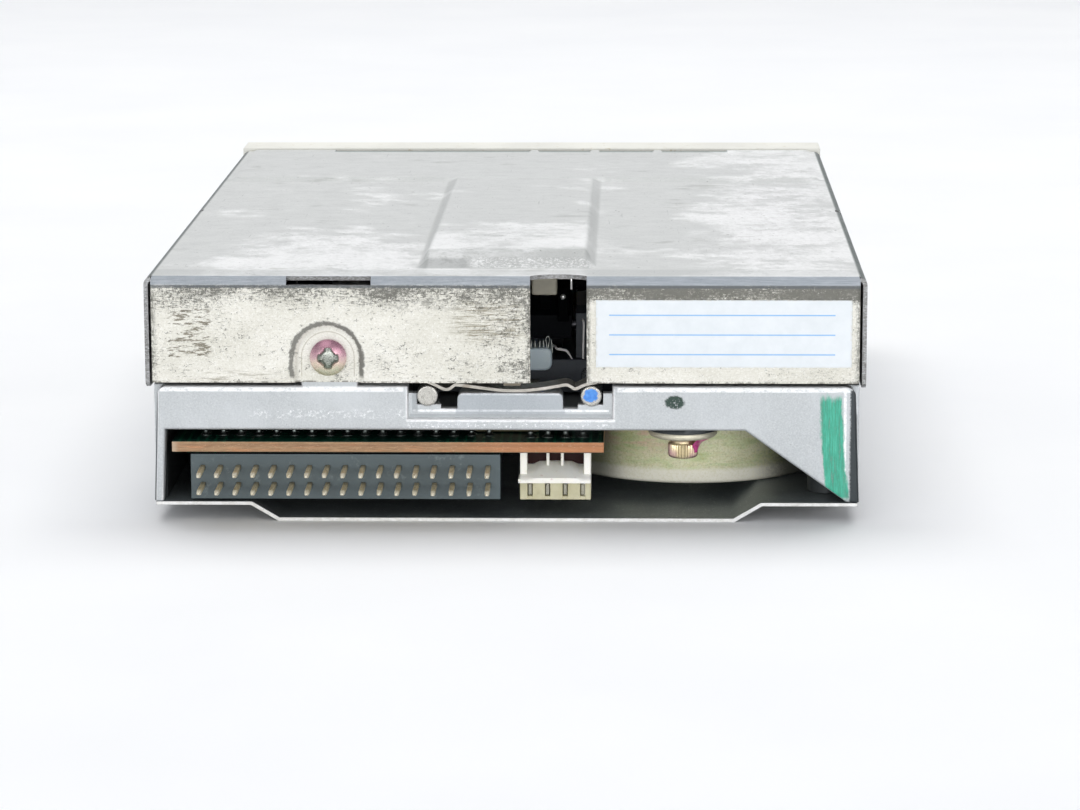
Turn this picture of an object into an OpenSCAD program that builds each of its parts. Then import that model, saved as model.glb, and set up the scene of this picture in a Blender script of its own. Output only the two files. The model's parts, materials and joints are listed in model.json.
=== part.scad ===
// 3.5-inch floppy disk drive with a die-cast chassis, folded steel cover and band-driven head carriage.
// Millimetres. +Z is up, -Y is the front (disk slot), +Y the rear (connectors).
// The origin is under the middle of the drive, on the lowest face of the bottom shield.
// X is positive on the left when the drive is seen from the rear.

/* [Case] */
// Width over the folded cover, the drive's overall width
case_w = 101.6; // [101.4:0.1:101.8]
// Sheet thickness of the cover
cover_t = 0.6; // [0.5:0.1:0.7]
// Height of the cover's flat top
cover_z = 35.5; // [35.3:0.1:35.8]
// Height of the raised centre panel at its rear end
panel_rise = 2.2; // [1.8:0.1:2.6]
// Sheet thickness of the bottom shield
shield_t = 0.5; // [0.4:0.1:0.6]
// Height of the lower edge of the cover's rear lip
lip_z = 20.4; // [20.2:0.1:20.8]

/* [Chassis] */
// Rear face of the casting, from the middle of the drive
rear_y = 71.5; // [71.4:0.1:71.6]
// Half width of the casting over its side walls
wall_x = 50.1; // [50.0:0.05:50.15]
// Underside of the casting's deck
deck_z = 13.2; // [13.1:0.05:13.3]
// Thickness of the deck
deck_t = 2.0; // [1.8:0.1:2.1]
// Lower edge of the casting's walls
foot_z = 2.9; // [2.9:0.05:3.0]
// Radius of the tapped mounting holes
mount_r = 1.25; // [1.2:0.05:1.3]
// Distance between the front and rear mounting holes
mount_pitch = 60; // [58:1:60]

/* [Head positioner] */
// Diameter of the two guide rods
rod_d = 3.0; // [2.9:0.05:3.0]
// Distance between the guide rods
rod_pitch = 23.2; // [23:0.1:23.4]
// Height of the guide rods' axes
rod_z = 18.1; // [18.0:0.05:18.2]
// Travel of the heads from the outer to the inner track
head_travel = 14.8; // [14:0.2:15]
// Radius of the stepper motor's can
can_r = 20.5; // [20:0.1:20.6]
// Radius of the capstan that the steel band runs on
capstan_r = 5.87; // [5.8:0.01:5.9]
// Angle by which the upper head arm is lifted with no disk loaded
arm_lift = 9; // [8.5:0.25:9.5]

/* [Disk loading] */
// Travel of the slider plate and the eject button
slider_travel = 6; // [5.5:0.25:6]
// Drop of the disk holder as a disk is loaded
holder_drop = 3.6; // [3.4:0.1:3.6]
// Clear height inside the disk holder
holder_gap = 4.3; // [4.2:0.1:4.4]
// Diameter of the pins that carry the disk holder
holder_pin_d = 2.4; // [2.3:0.05:2.4]

/* [Spindle] */
// Distance of the spindle from the middle of the drive, towards the front
spindle_y = -26; // [-26.5:0.5:-25.5]
// Outer radius of the spindle motor's rotor
rotor_r = 28.5; // [27.5:0.5:29]
// Number of stator arms
stator_arms = 12; // [9, 12]

/* [Connectors] */
// Pin columns of the interface header
header_cols = 17; // [15:1:17]
// Pin pitch of the interface header
header_pitch = 2.54; // [2.5:0.02:2.54]
// Pin pitch of the power connector
power_pitch = 2.5; // [2.45:0.05:2.5]

/* [Hidden] */
$fn = 48;
E = 0.01;
hx = -0.5;                              // centre line of the heads and the spindle
hw = case_w / 2;
lip_y = rear_y + 2.0;                   // outer face of the cover's rear lip
cover_front = -66.1;
deck_top = deck_z + deck_t;
wall_in = wall_x - 1.6;
bezel_front = -75;
bezel_back = -66.4;
rod_r = rod_d / 2;
step_c = [-26.5, 38.9];                 // stepper motor axis
clamp_at = [[-25.2, rear_y - 7], [-33.1, 14.2]];
pivot_y = 51;                           // upper arm pivot
pivot_z = 25;
pin_y = [-46, 12];                      // holder pins
holder_z = 23.8;                        // floor of the raised holder
ceil_z = holder_z + holder_gap;
pin_z = 26;
slot_z0 = 23.4;
slot_z1 = 28.6;
screw_x = 24.9;                         // cover screw on the rear lip
screw_z = 24.0;
header_x0 = 0.83;
header_len = header_cols * header_pitch + 0.86;
pin_x0 = header_x0 + 0.43 + header_pitch / 2;
power_x = [-12.05, -1.98];
lever_p = [39, 15];                     // shutter lever pivot
lever_r = 24;
post_at = [[37, -48], [-37, -48], [37, 4], [-37, 4]];
side_y = [-54, -54 + mount_pitch];
foot_y = [-44, -44 + mount_pitch];
shield_at = [[45.7, -22], [-45.7, -22], [45.7, 46], [-45.7, 63]];
board_at = [[39, 55], [5, 14], [36, 14], [-10.3, 58.5]];

// Axis-aligned box between two corners
module box(a, b) { translate(a) cube([b[0] - a[0], b[1] - a[1], b[2] - a[2]]); }
// Cylinder along Z from z0 to z1
module rod_up(x, y, z0, z1, r, fn = 48) { translate([x, y, z0]) cylinder(r = r, h = z1 - z0, $fn = fn); }
// Cylinder along Y from y0 to y1
module rod_y(x, z, y0, y1, r, fn = 32) { translate([x, y1, z]) rotate([90, 0, 0]) cylinder(r = r, h = y1 - y0, $fn = fn); }
// Cylinder along X from x0 to x1
module rod_x(y, z, x0, x1, r, fn = 32) { translate([x0, y, z]) rotate([0, 90, 0]) cylinder(r = r, h = x1 - x0, $fn = fn); }
// A 2D profile in (x, z) swept from y0 to y1
module sweep_y(y0, y1) { translate([0, y1, 0]) rotate([90, 0, 0]) linear_extrude(y1 - y0) children(); }
// A 2D profile in (y, z) swept from x0 to x1
module sweep_x(x0, x1) { translate([x0, 0, 0]) rotate([90, 0, 90]) linear_extrude(x1 - x0) children(); }
// Raised pad with sloping sides: base corners, inset of the top, and the top's height at each end
module pad(x0, x1, y0, y1, z0, run, run_rear, rise_front, rise_rear, run_front = 0.8) {
    polyhedron(
        points = [[x0, y0, z0], [x1, y0, z0], [x1, y1, z0], [x0, y1, z0],
            [x0 + run, y0 + run_front, z0 + rise_front], [x1 - run, y0 + run_front, z0 + rise_front],
            [x1 - run, y1 - run_rear, z0 + rise_rear], [x0 + run, y1 - run_rear, z0 + rise_rear]],
        faces = [[0, 1, 2, 3], [4, 7, 6, 5], [0, 4, 5, 1], [1, 5, 6, 2], [2, 6, 7, 3], [3, 7, 4, 0]]);
}

// ---------------------------------------------------------------- case
module shell_profile(w, z1, z0, r) {
    translate([-w, z0]) square([2 * w, z1 - r - z0]);
    translate([-w + r, z0]) square([2 * w - 2 * r, z1 - z0]);
    for (s = [-1, 1]) translate([s * (w - r), z1 - r]) circle(r = r, $fn = 32);
}

module lip_profile(y1, z1, r) {
    translate([y1 - 14, z1 - r - 20]) square([14, 20]);
    translate([y1 - 14, z1 - r - 1]) square([14 - r, r + 1]);
    translate([y1 - r, z1 - r]) circle(r = r, $fn = 32);
}

module u_shape(r, z0) {
    translate([screw_x, screw_z]) circle(r = r, $fn = 48);
    translate([screw_x - r, z0]) square([2 * r, screw_z - z0]);
}

module top_cover() {
    t = cover_t;
    color("gainsboro") difference() {
        union() {
            // top and the two side flanges
            sweep_y(cover_front, lip_y - 1.2) difference() {
                shell_profile(hw, cover_z, 19.6, 1.2);
                shell_profile(hw - t, cover_z - t, 19, 0.6);
            }
            // rear lip, bent down from the top
            sweep_x(-hw + 1.2, hw - 1.2) difference() {
                lip_profile(lip_y, cover_z, 1.2);
                lip_profile(lip_y - t, cover_z - t, 0.6);
                translate([lip_y - 20, lip_z - 8]) square([30, 8]);
            }
            // ends of the side flanges, beside the lip
            for (s = [-1, 1]) box([s > 0 ? hw - t : -hw, lip_y - 1.3, 19.6], [s > 0 ? hw : -hw + t, lip_y - 0.3, 34]);
            // raised centre panel and front steps
            pad(-12.65, 12.65, -27.8, 65.5, cover_z - E, 1.55, 4.0, 0.5, panel_rise);
            pad(-49, 49, -54.5, -27.1, cover_z - E, 0.7, 0.7, 0.45, 0.45, 0.5);
            pad(-49, 49, cover_front, -54.1, cover_z - E, 0.5, 0.5, 0.25, 0.25, 0.0);
            // recessed screw pad on the lip
            sweep_y(lip_y - 1.2, lip_y - E) difference() {
                u_shape(4.9, lip_z);
                u_shape(4.3, lip_z - 1);
            }
            sweep_y(lip_y - 1.2, lip_y - 0.6) u_shape(4.4, lip_z);
            // small tab that presses on the rod spring
            box([-2.2, lip_y - t, 19.5], [0.2, lip_y, lip_z + 1]);
        }
        // hollow under the raised panels
        pad(-12.2, 12.2, -27.5, 64.9, cover_z - t - E, 1.55, 4.0, 0.5, panel_rise);
        pad(-48.6, 48.6, -54.1, -27.6, cover_z - t - E, 0.7, 0.7, 0.45, 0.45, 0.5);
        // hollow of the screw pad
        sweep_y(lip_y - 0.6, lip_y + 1) u_shape(4.3, lip_z - 1);
        rod_y(screw_x, screw_z, lip_y - 3, lip_y + 1, 1.65);
        // opening above the carriage, round at its end
        box([-11.5, lip_y - 1.3, lip_z - 2], [-3.56, lip_y + 1, cover_z + 1]);
        rod_up(-7.53, lip_y + 3.3, cover_z - 2, cover_z + 1, 6.0);
        // narrow slot on the bend
        box([18.8, lip_y - 1.5, cover_z - 1.2], [30.7, lip_y + 1, cover_z + 1]);
        // relief slits between the lip and the side flanges
        for (s = [-1, 1]) box([s > 0 ? hw - 1.2 : -hw + cover_t, lip_y - 1.3, 19], [s > 0 ? hw - cover_t : -hw + 1.2, lip_y + 1, 34.2]);
        // small notches in the edges over the sides
        for (s = [-1, 1]) box([s * hw - 0.9, 6.6, 33.6], [s * hw + 0.9, 8.4, 37]);
        // front gap with three bridging tabs
        difference() {
            box([-34.3, cover_front - 1, cover_z - 3], [34.3, -64.5, cover_z + 2]);
            for (x = [-0.6, -11.2, -22.2]) box([x - 0.65, cover_front - 2, cover_z - 4], [x + 0.65, -64, cover_z + 3]);
        }
    }
}

module cover_screw() {
    color("tan") difference() {
        union() {
            rod_y(screw_x, screw_z, lip_y - 0.58, lip_y + 0.5, 2.6, 48);
            rod_y(screw_x, screw_z, lip_y + 0.5 - E, lip_y + 0.9, 2.2, 48);
            rod_y(screw_x, screw_z, rear_y - 4.5, lip_y - 0.5, 1.4);
        }
        for (a = [45, 135]) translate([screw_x, lip_y + 1, screw_z]) rotate([0, a, 0]) cube([2.6, 2.2, 0.6], center = true);
    }
}

module rear_label() { color("white") box([-48.7, lip_y + 0.01, 22.7], [-12.8, lip_y + 0.11, 32.3]); }

module bottom_shield() {
    t = shield_t;
    color("dimgray") difference() {
        union() {
            sweep_y(-65.8, rear_y) polygon([[-49.9, 2.3], [-36.4, 2.3], [-32.5, 0], [32.5, 0], [36.4, 2.3], [49.9, 2.3],
                [49.9, 2.3 + t], [36.2, 2.3 + t], [32.3, t], [-32.3, t], [-36.2, 2.3 + t], [-49.9, 2.3 + t]]);
        }
        for (s = [-1, 1], y = foot_y) rod_up(s * 45.3, y, 1, 4, 3.2);
        for (p = shield_at) rod_up(p[0], p[1], 1, 4, 1.5);
        // adjusting and vent holes
        rod_up(hx, spindle_y, -1, 3, 5);
        for (i = [0:5]) box([-22 + i * 8, 22, -1], [-19.5 + i * 8, 36, 2]);
        for (x = [-18, 18]) rod_up(x, -52, -1, 2, 2);
    }
}

module shield_screws() {
    color("lightgray") for (p = shield_at) difference() {
        union() {
            rod_up(p[0], p[1], 0.9, 2.28, 2.3);
            rod_up(p[0], p[1], 2.2, 7.5, 1.2);
        }
        for (a = [0, 90]) translate([p[0], p[1], 1]) rotate(a) cube([2.4, 0.5, 1.4], center = true);
    }
}

module front_bezel() {
    color("beige") difference() {
        box([-hw, bezel_front, 0.6], [hw, bezel_back, 36]);
        // hollow back
        box([-hw + 2, bezel_front + 3.2, 2.6], [hw - 2, bezel_back + 1, 34]);
        // disk slot
        box([hx - 46.4, bezel_front - 1, slot_z0], [hx + 46.4, bezel_front + 4, slot_z1]);
        // lead-in above and below the slot
        sweep_x(hx - 46.4, hx + 46.4) polygon([[bezel_front - 0.1, slot_z0 - 1.3], [bezel_front - 0.1, slot_z1 + 1.3], [bezel_front + 1.4, slot_z1], [bezel_front + 1.4, slot_z0]]);
        // finger recess
        sweep_x(hx - 13, hx + 13) polygon([[bezel_front - 0.1, slot_z0 - 7], [bezel_front - 0.1, slot_z1 + 4.5], [bezel_front + 1.9, slot_z1 + 3.2], [bezel_front + 1.9, slot_z0 - 5.4]]);
        // button window and lens hole
        box([25.7, bezel_front - 1, 12.7], [44.3, bezel_front + 4, 19.8]);
        box([-41.2, bezel_front - 1, 14.9], [-35.8, bezel_front + 4, 17.3]);
        // shallow band across the lower front
        box([-44, bezel_front - 1, 3.4], [44, bezel_front + 0.4, 10.4]);
    }
    // door hinge ears and the arms that clip inside the chassis walls
    color("beige") for (s = [-1, 1]) {
        difference() {
            box([hx + s * 47.9 - 0.9, bezel_front + 3.1, 27.4], [hx + s * 47.9 + 0.9, bezel_front + 6.4, 30.8]);
            rod_x(bezel_front + 4.3, 29, hx + s * 47.9 - 2, hx + s * 47.9 + 2, 0.75);
        }
        box([s > 0 ? 46.4 : -48.48, bezel_front + 3, 4.2], [s > 0 ? 48.48 : -46.4, -59, 8.4]);
    }
}

module activity_lens() {
    color("darkgreen") union() {
        box([-41.1, bezel_front - 0.4, 15.0], [-35.9, bezel_front + 4.4, 17.2]);
        box([-42.0, bezel_front + 3.25, 14.2], [-35.0, bezel_front + 4.4, 18.0]);
    }
}

module dust_door() {
    y0 = bezel_front + 4.3;
    color("gray") union() {
        box([hx - 45.9, y0 - 0.6, 23.7], [hx + 45.9, y0 + 0.4, 29]);
        rod_x(y0, 29, hx - 45.9, hx + 45.9, 0.8);
        rod_x(y0, 29, hx - 48.0, hx + 48.6, 0.68);
    }
}

module door_spring() {
    // coil round the door's hinge line, behind the ear
    color("silver") difference() {
        rod_x(bezel_front + 4.3, 29, hx - 46.9, hx - 46.1, 1.05);
        rod_x(bezel_front + 4.3, 29, hx - 48, hx - 45, 0.85);
    }
}

// ---------------------------------------------------------------- chassis
module rear_wall_profile() {
    polygon([[wall_x, foot_z], [wall_x - 0.6, 18.4], [wall_x - 1.1, 19.2], [wall_x - 1.9, 19.6], [-wall_x + 1.9, 19.6], [-wall_x + 1.1, 19.2], [-wall_x + 0.6, 18.4], [-wall_x, foot_z],
        [-48.3, foot_z], [-33.9, deck_z], [48.3, deck_z], [48.8, foot_z]]);
}

module chassis() {
    color("lightsteelblue") difference() {
        union() {
            // deck
            box([-wall_in - 0.2, -64, deck_z], [wall_in + 0.2, rear_y - 1, deck_top]);
            // side walls, and their upper part inside the cover
            for (s = [-1, 1]) {
                box([s > 0 ? wall_in : -wall_x, -66, foot_z], [s > 0 ? wall_x : -wall_in, rear_y - 2.4, 19.4]);
                box([s > 0 ? wall_in : -wall_x + 0.2, -66, 19], [s > 0 ? wall_x - 0.2 : -wall_in, 30, 30]);
            }
            // rear wall with its beam, leg and gusset
            sweep_y(rear_y - 2.5, rear_y) rear_wall_profile();
            // rib under the beam's inner side, and the front cross wall
            box([-wall_in - 0.2, rear_y - 4.2, deck_top - E], [-16.5, rear_y - 2.4, 19]);
            box([15.5, rear_y - 4.2, deck_top - E], [wall_in + 0.2, rear_y - 2.4, 19]);
            box([-wall_in - 0.2, -64, 9], [wall_in + 0.2, -62.2, deck_z + E]);
            // lug behind the cover screw
            box([screw_x - 4, rear_y - 3.5, 15], [screw_x + 4, rear_y, 28.2]);
            box([screw_x - 4, rear_y - 3.5, 21], [screw_x + 4, lip_y - 1.22, 28.2]);
            // block between the rods
            box([-8.1, rear_y - 5, deck_top - E], [6.85, rear_y - 0.9, 18.45]);
            // rod shelves at the rear and blind sockets at the front
            for (s = [-1, 1]) {
                box([hx + s * rod_pitch / 2 - 1.6, rear_y - 5, deck_top - E], [hx + s * rod_pitch / 2 + 1.6, rear_y - 0.8, rod_z - rod_r + 0.4]);
                box([hx + s * rod_pitch / 2 - 3, 9, deck_top - E], [hx + s * rod_pitch / 2 + 3, 14.5, 20.2]);
            }
            // datum posts for the disk
            for (p = post_at) { rod_up(p[0], p[1], deck_top - E, 20.5, 2.2); }
            for (p = [post_at[0], post_at[1]]) rod_up(p[0], p[1], 20.4, 21.6, 1.2);
            // mounting bosses
            for (s = [-1, 1]) {
                for (y = side_y) {
                    rod_x(y, 7.9, s > 0 ? 44.5 : -hw, s > 0 ? hw : -44.5, 4);
                }
                for (y = foot_y) rod_up(s * 45.3, y, foot_z, deck_z + E, 3);
            }
            for (p = shield_at) rod_up(p[0], p[1], foot_z, deck_z + E, 2.6);
            for (p = board_at) rod_up(p[0], p[1], 11.52, deck_z + E, 2.6);
            // clamp bosses of the stepper motor
            for (p = clamp_at) difference() {
                rod_up(p[0], p[1], 12.2, deck_z + E, 5.0, 64);
                rod_up(step_c[0], step_c[1], 10, deck_z, can_r + 1.0, 96);
            }
            // spring post at the front of each side, and sensor seat
            for (s = [-1, 1]) rod_up(s * 41.3, -47, deck_top - E, 19, 1.1);
            // standoffs of the spindle board
            for (p = [[-30, -52], [29, -52], [-0.5, 2.5]]) rod_up(p[0], p[1], 10.42, deck_z + E, 2.4);
        }
        // rod bores and sockets
        for (s = [-1, 1]) rod_y(hx + s * rod_pitch / 2, rod_z, 10.5, rear_y + 1, rod_r + 0.02, 48);
        // pocket in the rear wall
        box([-15.1, rear_y - 0.8, 14.9], [13.8, rear_y + 1, 20]);
        for (s = [-1, 1]) {
            box([s > 0 ? 6.85 : -13.8, rear_y - 5.5, rod_z - rod_r + 0.2], [s > 0 ? 12.6 : -8.1, rear_y + 1, 20]);
            box([s > 0 ? 6.85 : -10.2, rear_y - 5.5, 16.2], [s > 0 ? 9.2 : -8.1, rear_y + 1, 20]);
        }
        box([-15.1, rear_y - 2.6, 18.45], [13.8, rear_y + 1, 20]);
        // stepper pilot, spindle and cable holes in the deck
        rod_up(step_c[0], step_c[1], 10, 17, 7.6);
        rod_up(hx, spindle_y, 11, 17, 8.05);
        box([hx - 5.5, 57, 12], [hx + 6.5, 65.5, 16]);
        // windows in the deck
        box([18, -40, 12], [32, -10, 16]);
        box([-32, -40, 12], [-18, -10, 16]);
        box([26, 18, 12], [42, 40, 16]);
        // guide slots of the disk holder
        for (y = pin_y) {
            for (s = [-1, 1]) {
                box([s * 49.5 - 2, y - holder_pin_d / 2 - 0.12, pin_z - holder_drop - 1.4], [s * 49.5 + 2, y + holder_pin_d / 2 + 0.12, pin_z + 1.4]);
            }
        }
        // tapped holes
        for (s = [-1, 1]) {
            for (y = side_y) rod_x(y, 7.9, s > 0 ? 44 : -52, s > 0 ? 52 : -44, mount_r);
            for (y = foot_y) rod_up(s * 45.3, y, foot_z - 1, 9.9, mount_r, 32);
        }
        for (p = shield_at) rod_up(p[0], p[1], foot_z - 1, 9, 1.25, 32);
        for (p = board_at) rod_up(p[0], p[1], 11, 14.4, 1.1, 32);
        for (p = clamp_at) rod_up(p[0], p[1], 10, 14.4, 1.2, 32);
        rod_y(screw_x, screw_z, rear_y - 5, lip_y, 1.45);
    }
}

// ---------------------------------------------------------------- electronics
module logic_board() {
    color("darkgreen") difference() {
        linear_extrude(11.5 - 9.9) difference() {
            polygon([[-13.9, rear_y - 0.25], [47.5, rear_y - 0.25], [47.5, 58], [42, 58], [42, 8.5], [-4, 8.5], [-4, 14], [-13.9, 56]]);
            translate(step_c) circle(r = 22.3, $fn = 96);
            for (p = board_at) translate(p) circle(r = 1.45, $fn = 24);
            translate([shield_at[2][0], shield_at[2][1]]) circle(r = 3.2, $fn = 24);
        }
    }
}
module place_board() { translate([0, 0, 9.9]) logic_board(); }

module board_screws() {
    color("silver") for (p = board_at) difference() {
        union() { rod_up(p[0], p[1], 8.5, 9.88, 2.2); rod_up(p[0], p[1], 9.8, 14.2, 1.05); }
        for (a = [0, 90]) translate([p[0], p[1], 8.5]) rotate(a) cube([2.2, 0.5, 1.3], center = true);
    }
}

module board_chips() {
    color("black") {
        for (c = [[22, 44, 14, 14], [7, 47, 9, 12], [24, 25, 12, 9]]) box([c[0] - c[2] / 2, c[1] - c[3] / 2, 7.5], [c[0] + c[2] / 2, c[1] + c[3] / 2, 9.7]);
        for (c = [[37, 44, 5, 9], [37, 29, 5, 9]]) box([c[0] - c[2] / 2, c[1] - c[3] / 2, 8.1], [c[0] + c[2] / 2, c[1] + c[3] / 2, 9.7]);
    }
    color("silver") {
        for (i = [-5:5]) {
            for (s = [-1, 1]) {
                box([22 + i * 1.15 - 0.2, 44 + s * 7.9 - 0.9, 9.7], [22 + i * 1.15 + 0.2, 44 + s * 7.9 + 0.9, 9.88]);
                box([22 + s * 7.9 - 0.9, 44 + i * 1.15 - 0.2, 9.7], [22 + s * 7.9 + 0.9, 44 + i * 1.15 + 0.2, 9.88]);
            }
        }
    }
}

module board_capacitors() {
    color("navy") for (p = [[11, 31], [33, 57], [14, 20]]) rod_up(p[0], p[1], 4.4, 9.88, 2.5, 32);
    color("gold") for (p = [[4, 57], [4, 61]]) box([p[0] - 2.2, p[1] - 1.4, 7.6], [p[0] + 2.2, p[1] + 1.4, 9.88]);
}

module solder_joints() {
    color("silver") {
        for (i = [0:header_cols - 1]) {
            for (y = [rear_y - 5.2, rear_y - 7.74]) translate([pin_x0 + i * header_pitch, y, 11.52]) cylinder(r1 = 0.85, r2 = 0.35, h = 0.7, $fn = 16);
        }
        for (i = [0:3]) translate([-3.4 - i * power_pitch, rear_y - 4.2, 11.52]) cylinder(r1 = 0.9, r2 = 0.4, h = 0.8, $fn = 16);
    }
}

module interface_header() {
    color("darkslategray") difference() {
        union() {
            box([header_x0, rear_y - 3.6, 3.15], [header_x0 + header_len, rear_y - 0.35, 9.3]);
            for (i = [0:3]) box([header_x0 + 0.6 + i * header_len / 4.2, rear_y - 3.6, 9.2], [header_x0 + 0.6 + i * header_len / 4.2 + 8.6, rear_y - 0.6, 9.88]);
        }
        for (i = [0:header_cols - 1], z = [5.2, 7.7]) {
            box([pin_x0 + i * header_pitch - 0.34, rear_y - 5, z - 0.34], [pin_x0 + i * header_pitch + 0.34, rear_y + 1, z + 0.34]);
        }
    }
}

module interface_pins() {
    color("gold") for (i = [0:header_cols - 1]) translate([pin_x0 + i * header_pitch, 0, 0]) {
        for (k = [0, 1]) {
            z = k == 0 ? 5.2 : 7.7;
            yb = rear_y - (k == 0 ? 7.74 : 5.2);
            box([-0.32, yb - 0.32, z - 0.32], [0.32, rear_y + 5.6, z + 0.32]);
            translate([0, rear_y + 5.6 - E, z]) rotate([-90, 0, 0]) linear_extrude(0.6 + E, scale = 0.45) square(0.64, center = true);
            box([-0.32, yb - 0.32, z], [0.32, yb + 0.32, 9.88]);
        }
    }
}

module power_connector() {
    x0 = power_x[0];
    x1 = power_x[1];
    color("ivory") difference() {
        union() {
            // side posts up to the board
            box([x0, rear_y - 8.5, 3.0], [x0 + 0.85, rear_y - 0.9, 9.88]);
            box([x1 - 0.85, rear_y - 8.5, 3.0], [x1, rear_y - 0.9, 9.88]);
            // sloping tongue with its ledge
            sweep_x(x0, x1) polygon([[rear_y - 7, 7.6], [rear_y - 4.6, 7.6], [rear_y + 0.2, 6.35], [rear_y + 0.2, 5.5], [rear_y - 7, 5.5]]);
            box([x1 - 0.1, rear_y - 3, 5.5], [x1 + 0.25, rear_y + 0.2, 6.35]);
            // lower body with the contact slots
            box([x0, rear_y - 8.5, 3.0], [x1, rear_y - 0.9, 5.6]);
        }
        for (i = [0:3]) {
            x = -3.4 - i * power_pitch;
            box([x - 0.45, rear_y - 6, 3.5], [x + 0.45, rear_y + 1, 5.35]);
            box([x - 0.36, rear_y - 5, 5.2], [x + 0.36, rear_y - 3.6, 10]);
        }
    }
}

module power_contacts() {
    color("silver") for (i = [0:3]) {
        x = -3.4 - i * power_pitch;
        box([x - 0.3, rear_y - 5.5, 3.7], [x + 0.3, rear_y - 1.6, 4.4]);
        box([x - 0.3, rear_y - 4.6, 4.3], [x + 0.3, rear_y - 3.9, 9.88]);
    }
}

// ---------------------------------------------------------------- stepper and carriage
module stepper_can() {
    color("darkkhaki") translate([step_c[0], step_c[1], 0]) difference() {
        union() {
            rotate_extrude($fn = 96) polygon([[0, 2.85], [can_r - 2.2, 2.85], [can_r - 1.2, 3.1], [can_r - 0.4, 3.8], [can_r, 4.85], [can_r, 12.2], [can_r + 0.8, 12.2], [can_r + 0.8, deck_z - 0.02], [0, deck_z - 0.02]]);
            translate([0, 0, 5]) cylinder(r = 7.5, h = 10.0);
            translate([0, 0, 1.8]) cylinder(r = 5, h = 2);
        }
        translate([0, 0, 11]) cylinder(r = 1.58, h = 5);
        translate([0, 0, 14]) cylinder(r = 4, h = 2);
        translate([0, 0, 1]) cylinder(r = 2.4, h = 1.6);
    }
}

module stepper_clamps() {
    color("khaki") for (p = clamp_at) difference() {
        rod_up(p[0], p[1], 11.2, 12.18, 4.95, 64);
        rod_up(p[0], p[1], 11, 13, 1.35, 32);
        rod_up(step_c[0], step_c[1], 11, 13, can_r + 0.15, 96);
    }
}

module stepper_clamp_screws() {
    n = 30;
    color("tan") for (p = clamp_at) difference() {
        union() {
            translate([p[0], p[1], 8.05]) linear_extrude(2.1) polygon([for (i = [0:2 * n - 1]) let (a = i * 180 / n, r = (i % 2 == 0) ? 2.13 : 2.02) [r * cos(a), r * sin(a)]]);
            rod_up(p[0], p[1], 10.1, 11.18, 1.85, 32);
            rod_up(p[0], p[1], 11.1, 14.2, 1.15, 32);
        }
        translate([p[0], p[1], 8.0]) cylinder(r = 1.15, h = 1.3, $fn = 6);
    }
}

module stepper_shaft() {
    color("silver") rod_up(step_c[0], step_c[1], 11.2, 21.2, 1.5);
}

module capstan() {
    color("gray") difference() {
        union() {
            rod_up(step_c[0], step_c[1], 15.9, 20.2, capstan_r - 0.02, 96);
            rod_up(step_c[0], step_c[1], 20.1, 20.8, 3.2);
        }
        rod_up(step_c[0], step_c[1], 15, 22, 1.51);
    }
}

module band_wrap() {
    color("lightgray") difference() {
        rod_up(step_c[0], step_c[1], 17.2, 19, capstan_r + 0.1, 96);
        rod_up(step_c[0], step_c[1], 17, 19.2, capstan_r, 96);
    }
}

module guide_rods() {
    color("silver") for (s = [-1, 1]) rod_y(hx + s * rod_pitch / 2, rod_z, 10.6, rear_y - 0.4, rod_r, 48);
}

// Flat spring over both rods, drawn as a strip along its centre line
module rod_clamp_spring() {
    z = rod_z + rod_r + 0.22;
    p = [[11.9, z + 0.75], [10.6, z + 0.05], [9.6, z - 0.15], [8.4, z - 0.75], [7.4, z - 0.1], [4, z - 0.45], [1, z - 0.85], [-1, z - 0.95], [-3, z - 0.9],
        [-6, z - 0.5], [-8.6, z - 0.05], [-9.7, z - 0.7], [-10.6, z - 0.35], [-11.5, z + 0.02], [-12.9, z + 0.3]];
    h = 0.17;
    n = len(p);
    color("silver") sweep_y(rear_y - 4.4, rear_y - 0.15) polygon([for (i = [0:n - 1]) [p[i][0], p[i][1] + h], for (i = [n - 1:-1:0]) [p[i][0], p[i][1] - h]]);
}

module head_carriage() {
    color("dimgray") difference() {
        union() {
            box([hx - 14.5, 30, 15.8], [hx + 14.5, 56, 20.6]);
            // tongue under the disk
            box([hx - 8, 8, 16.4], [hx + 8, 30.5, 19.4]);
            // ears of the upper arm's pivot
            for (s = [-1, 1]) box([hx + s * 10.2 - 1, 47.5, 20.5], [hx + s * 10.2 + 1, 54.5, 27.2]);
            // bracket that holds the band
            box([-17.2, 33, 16.6], [-14.9, 60.5, 19.6]);
            for (y = [[33, 35.5], [58, 60.5]]) box([-20.2, y[0], 16.6], [-17, y[1], 19.6]);
            // flag of the track sensor
            box([13, 45.5, 20.55], [20.9, 50, 21.5]);
            box([20.1, 45.5, 17.6], [20.9, 50, 21]);
        }
        for (s = [-1, 1]) rod_y(hx + s * rod_pitch / 2, rod_z, 20, 70, rod_r + 0.05, 48);
        // well between the rods
        box([hx - 7, 33, 17.6], [hx + 7, 46, 21]);
        box([hx - 5, 12, 15], [hx + 5, 26, 17.4]);
        rod_x(pivot_y, pivot_z, hx - 13, hx + 13, 0.77);
    }
}

module drive_band() {
    color("lightgray") box([-20.36, 33.1, 17.2], [-20.24, 60.4, 19]);
}

module lower_head() {
    color("white") union() {
        box([hx - 3.4, 10.6, 19.42], [hx + 3.4, 16.4, 20.6]);
        box([hx - 2.2, 11.6, 20.5], [hx - 0.3, 15.4, 22]);
        box([hx + 0.3, 11.6, 20.5], [hx + 2.2, 15.4, 22]);
    }
}

module arm_pivot_pin() { color("silver") rod_x(pivot_y, pivot_z, hx - 11.4, hx + 11.4, 0.75); }

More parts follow.
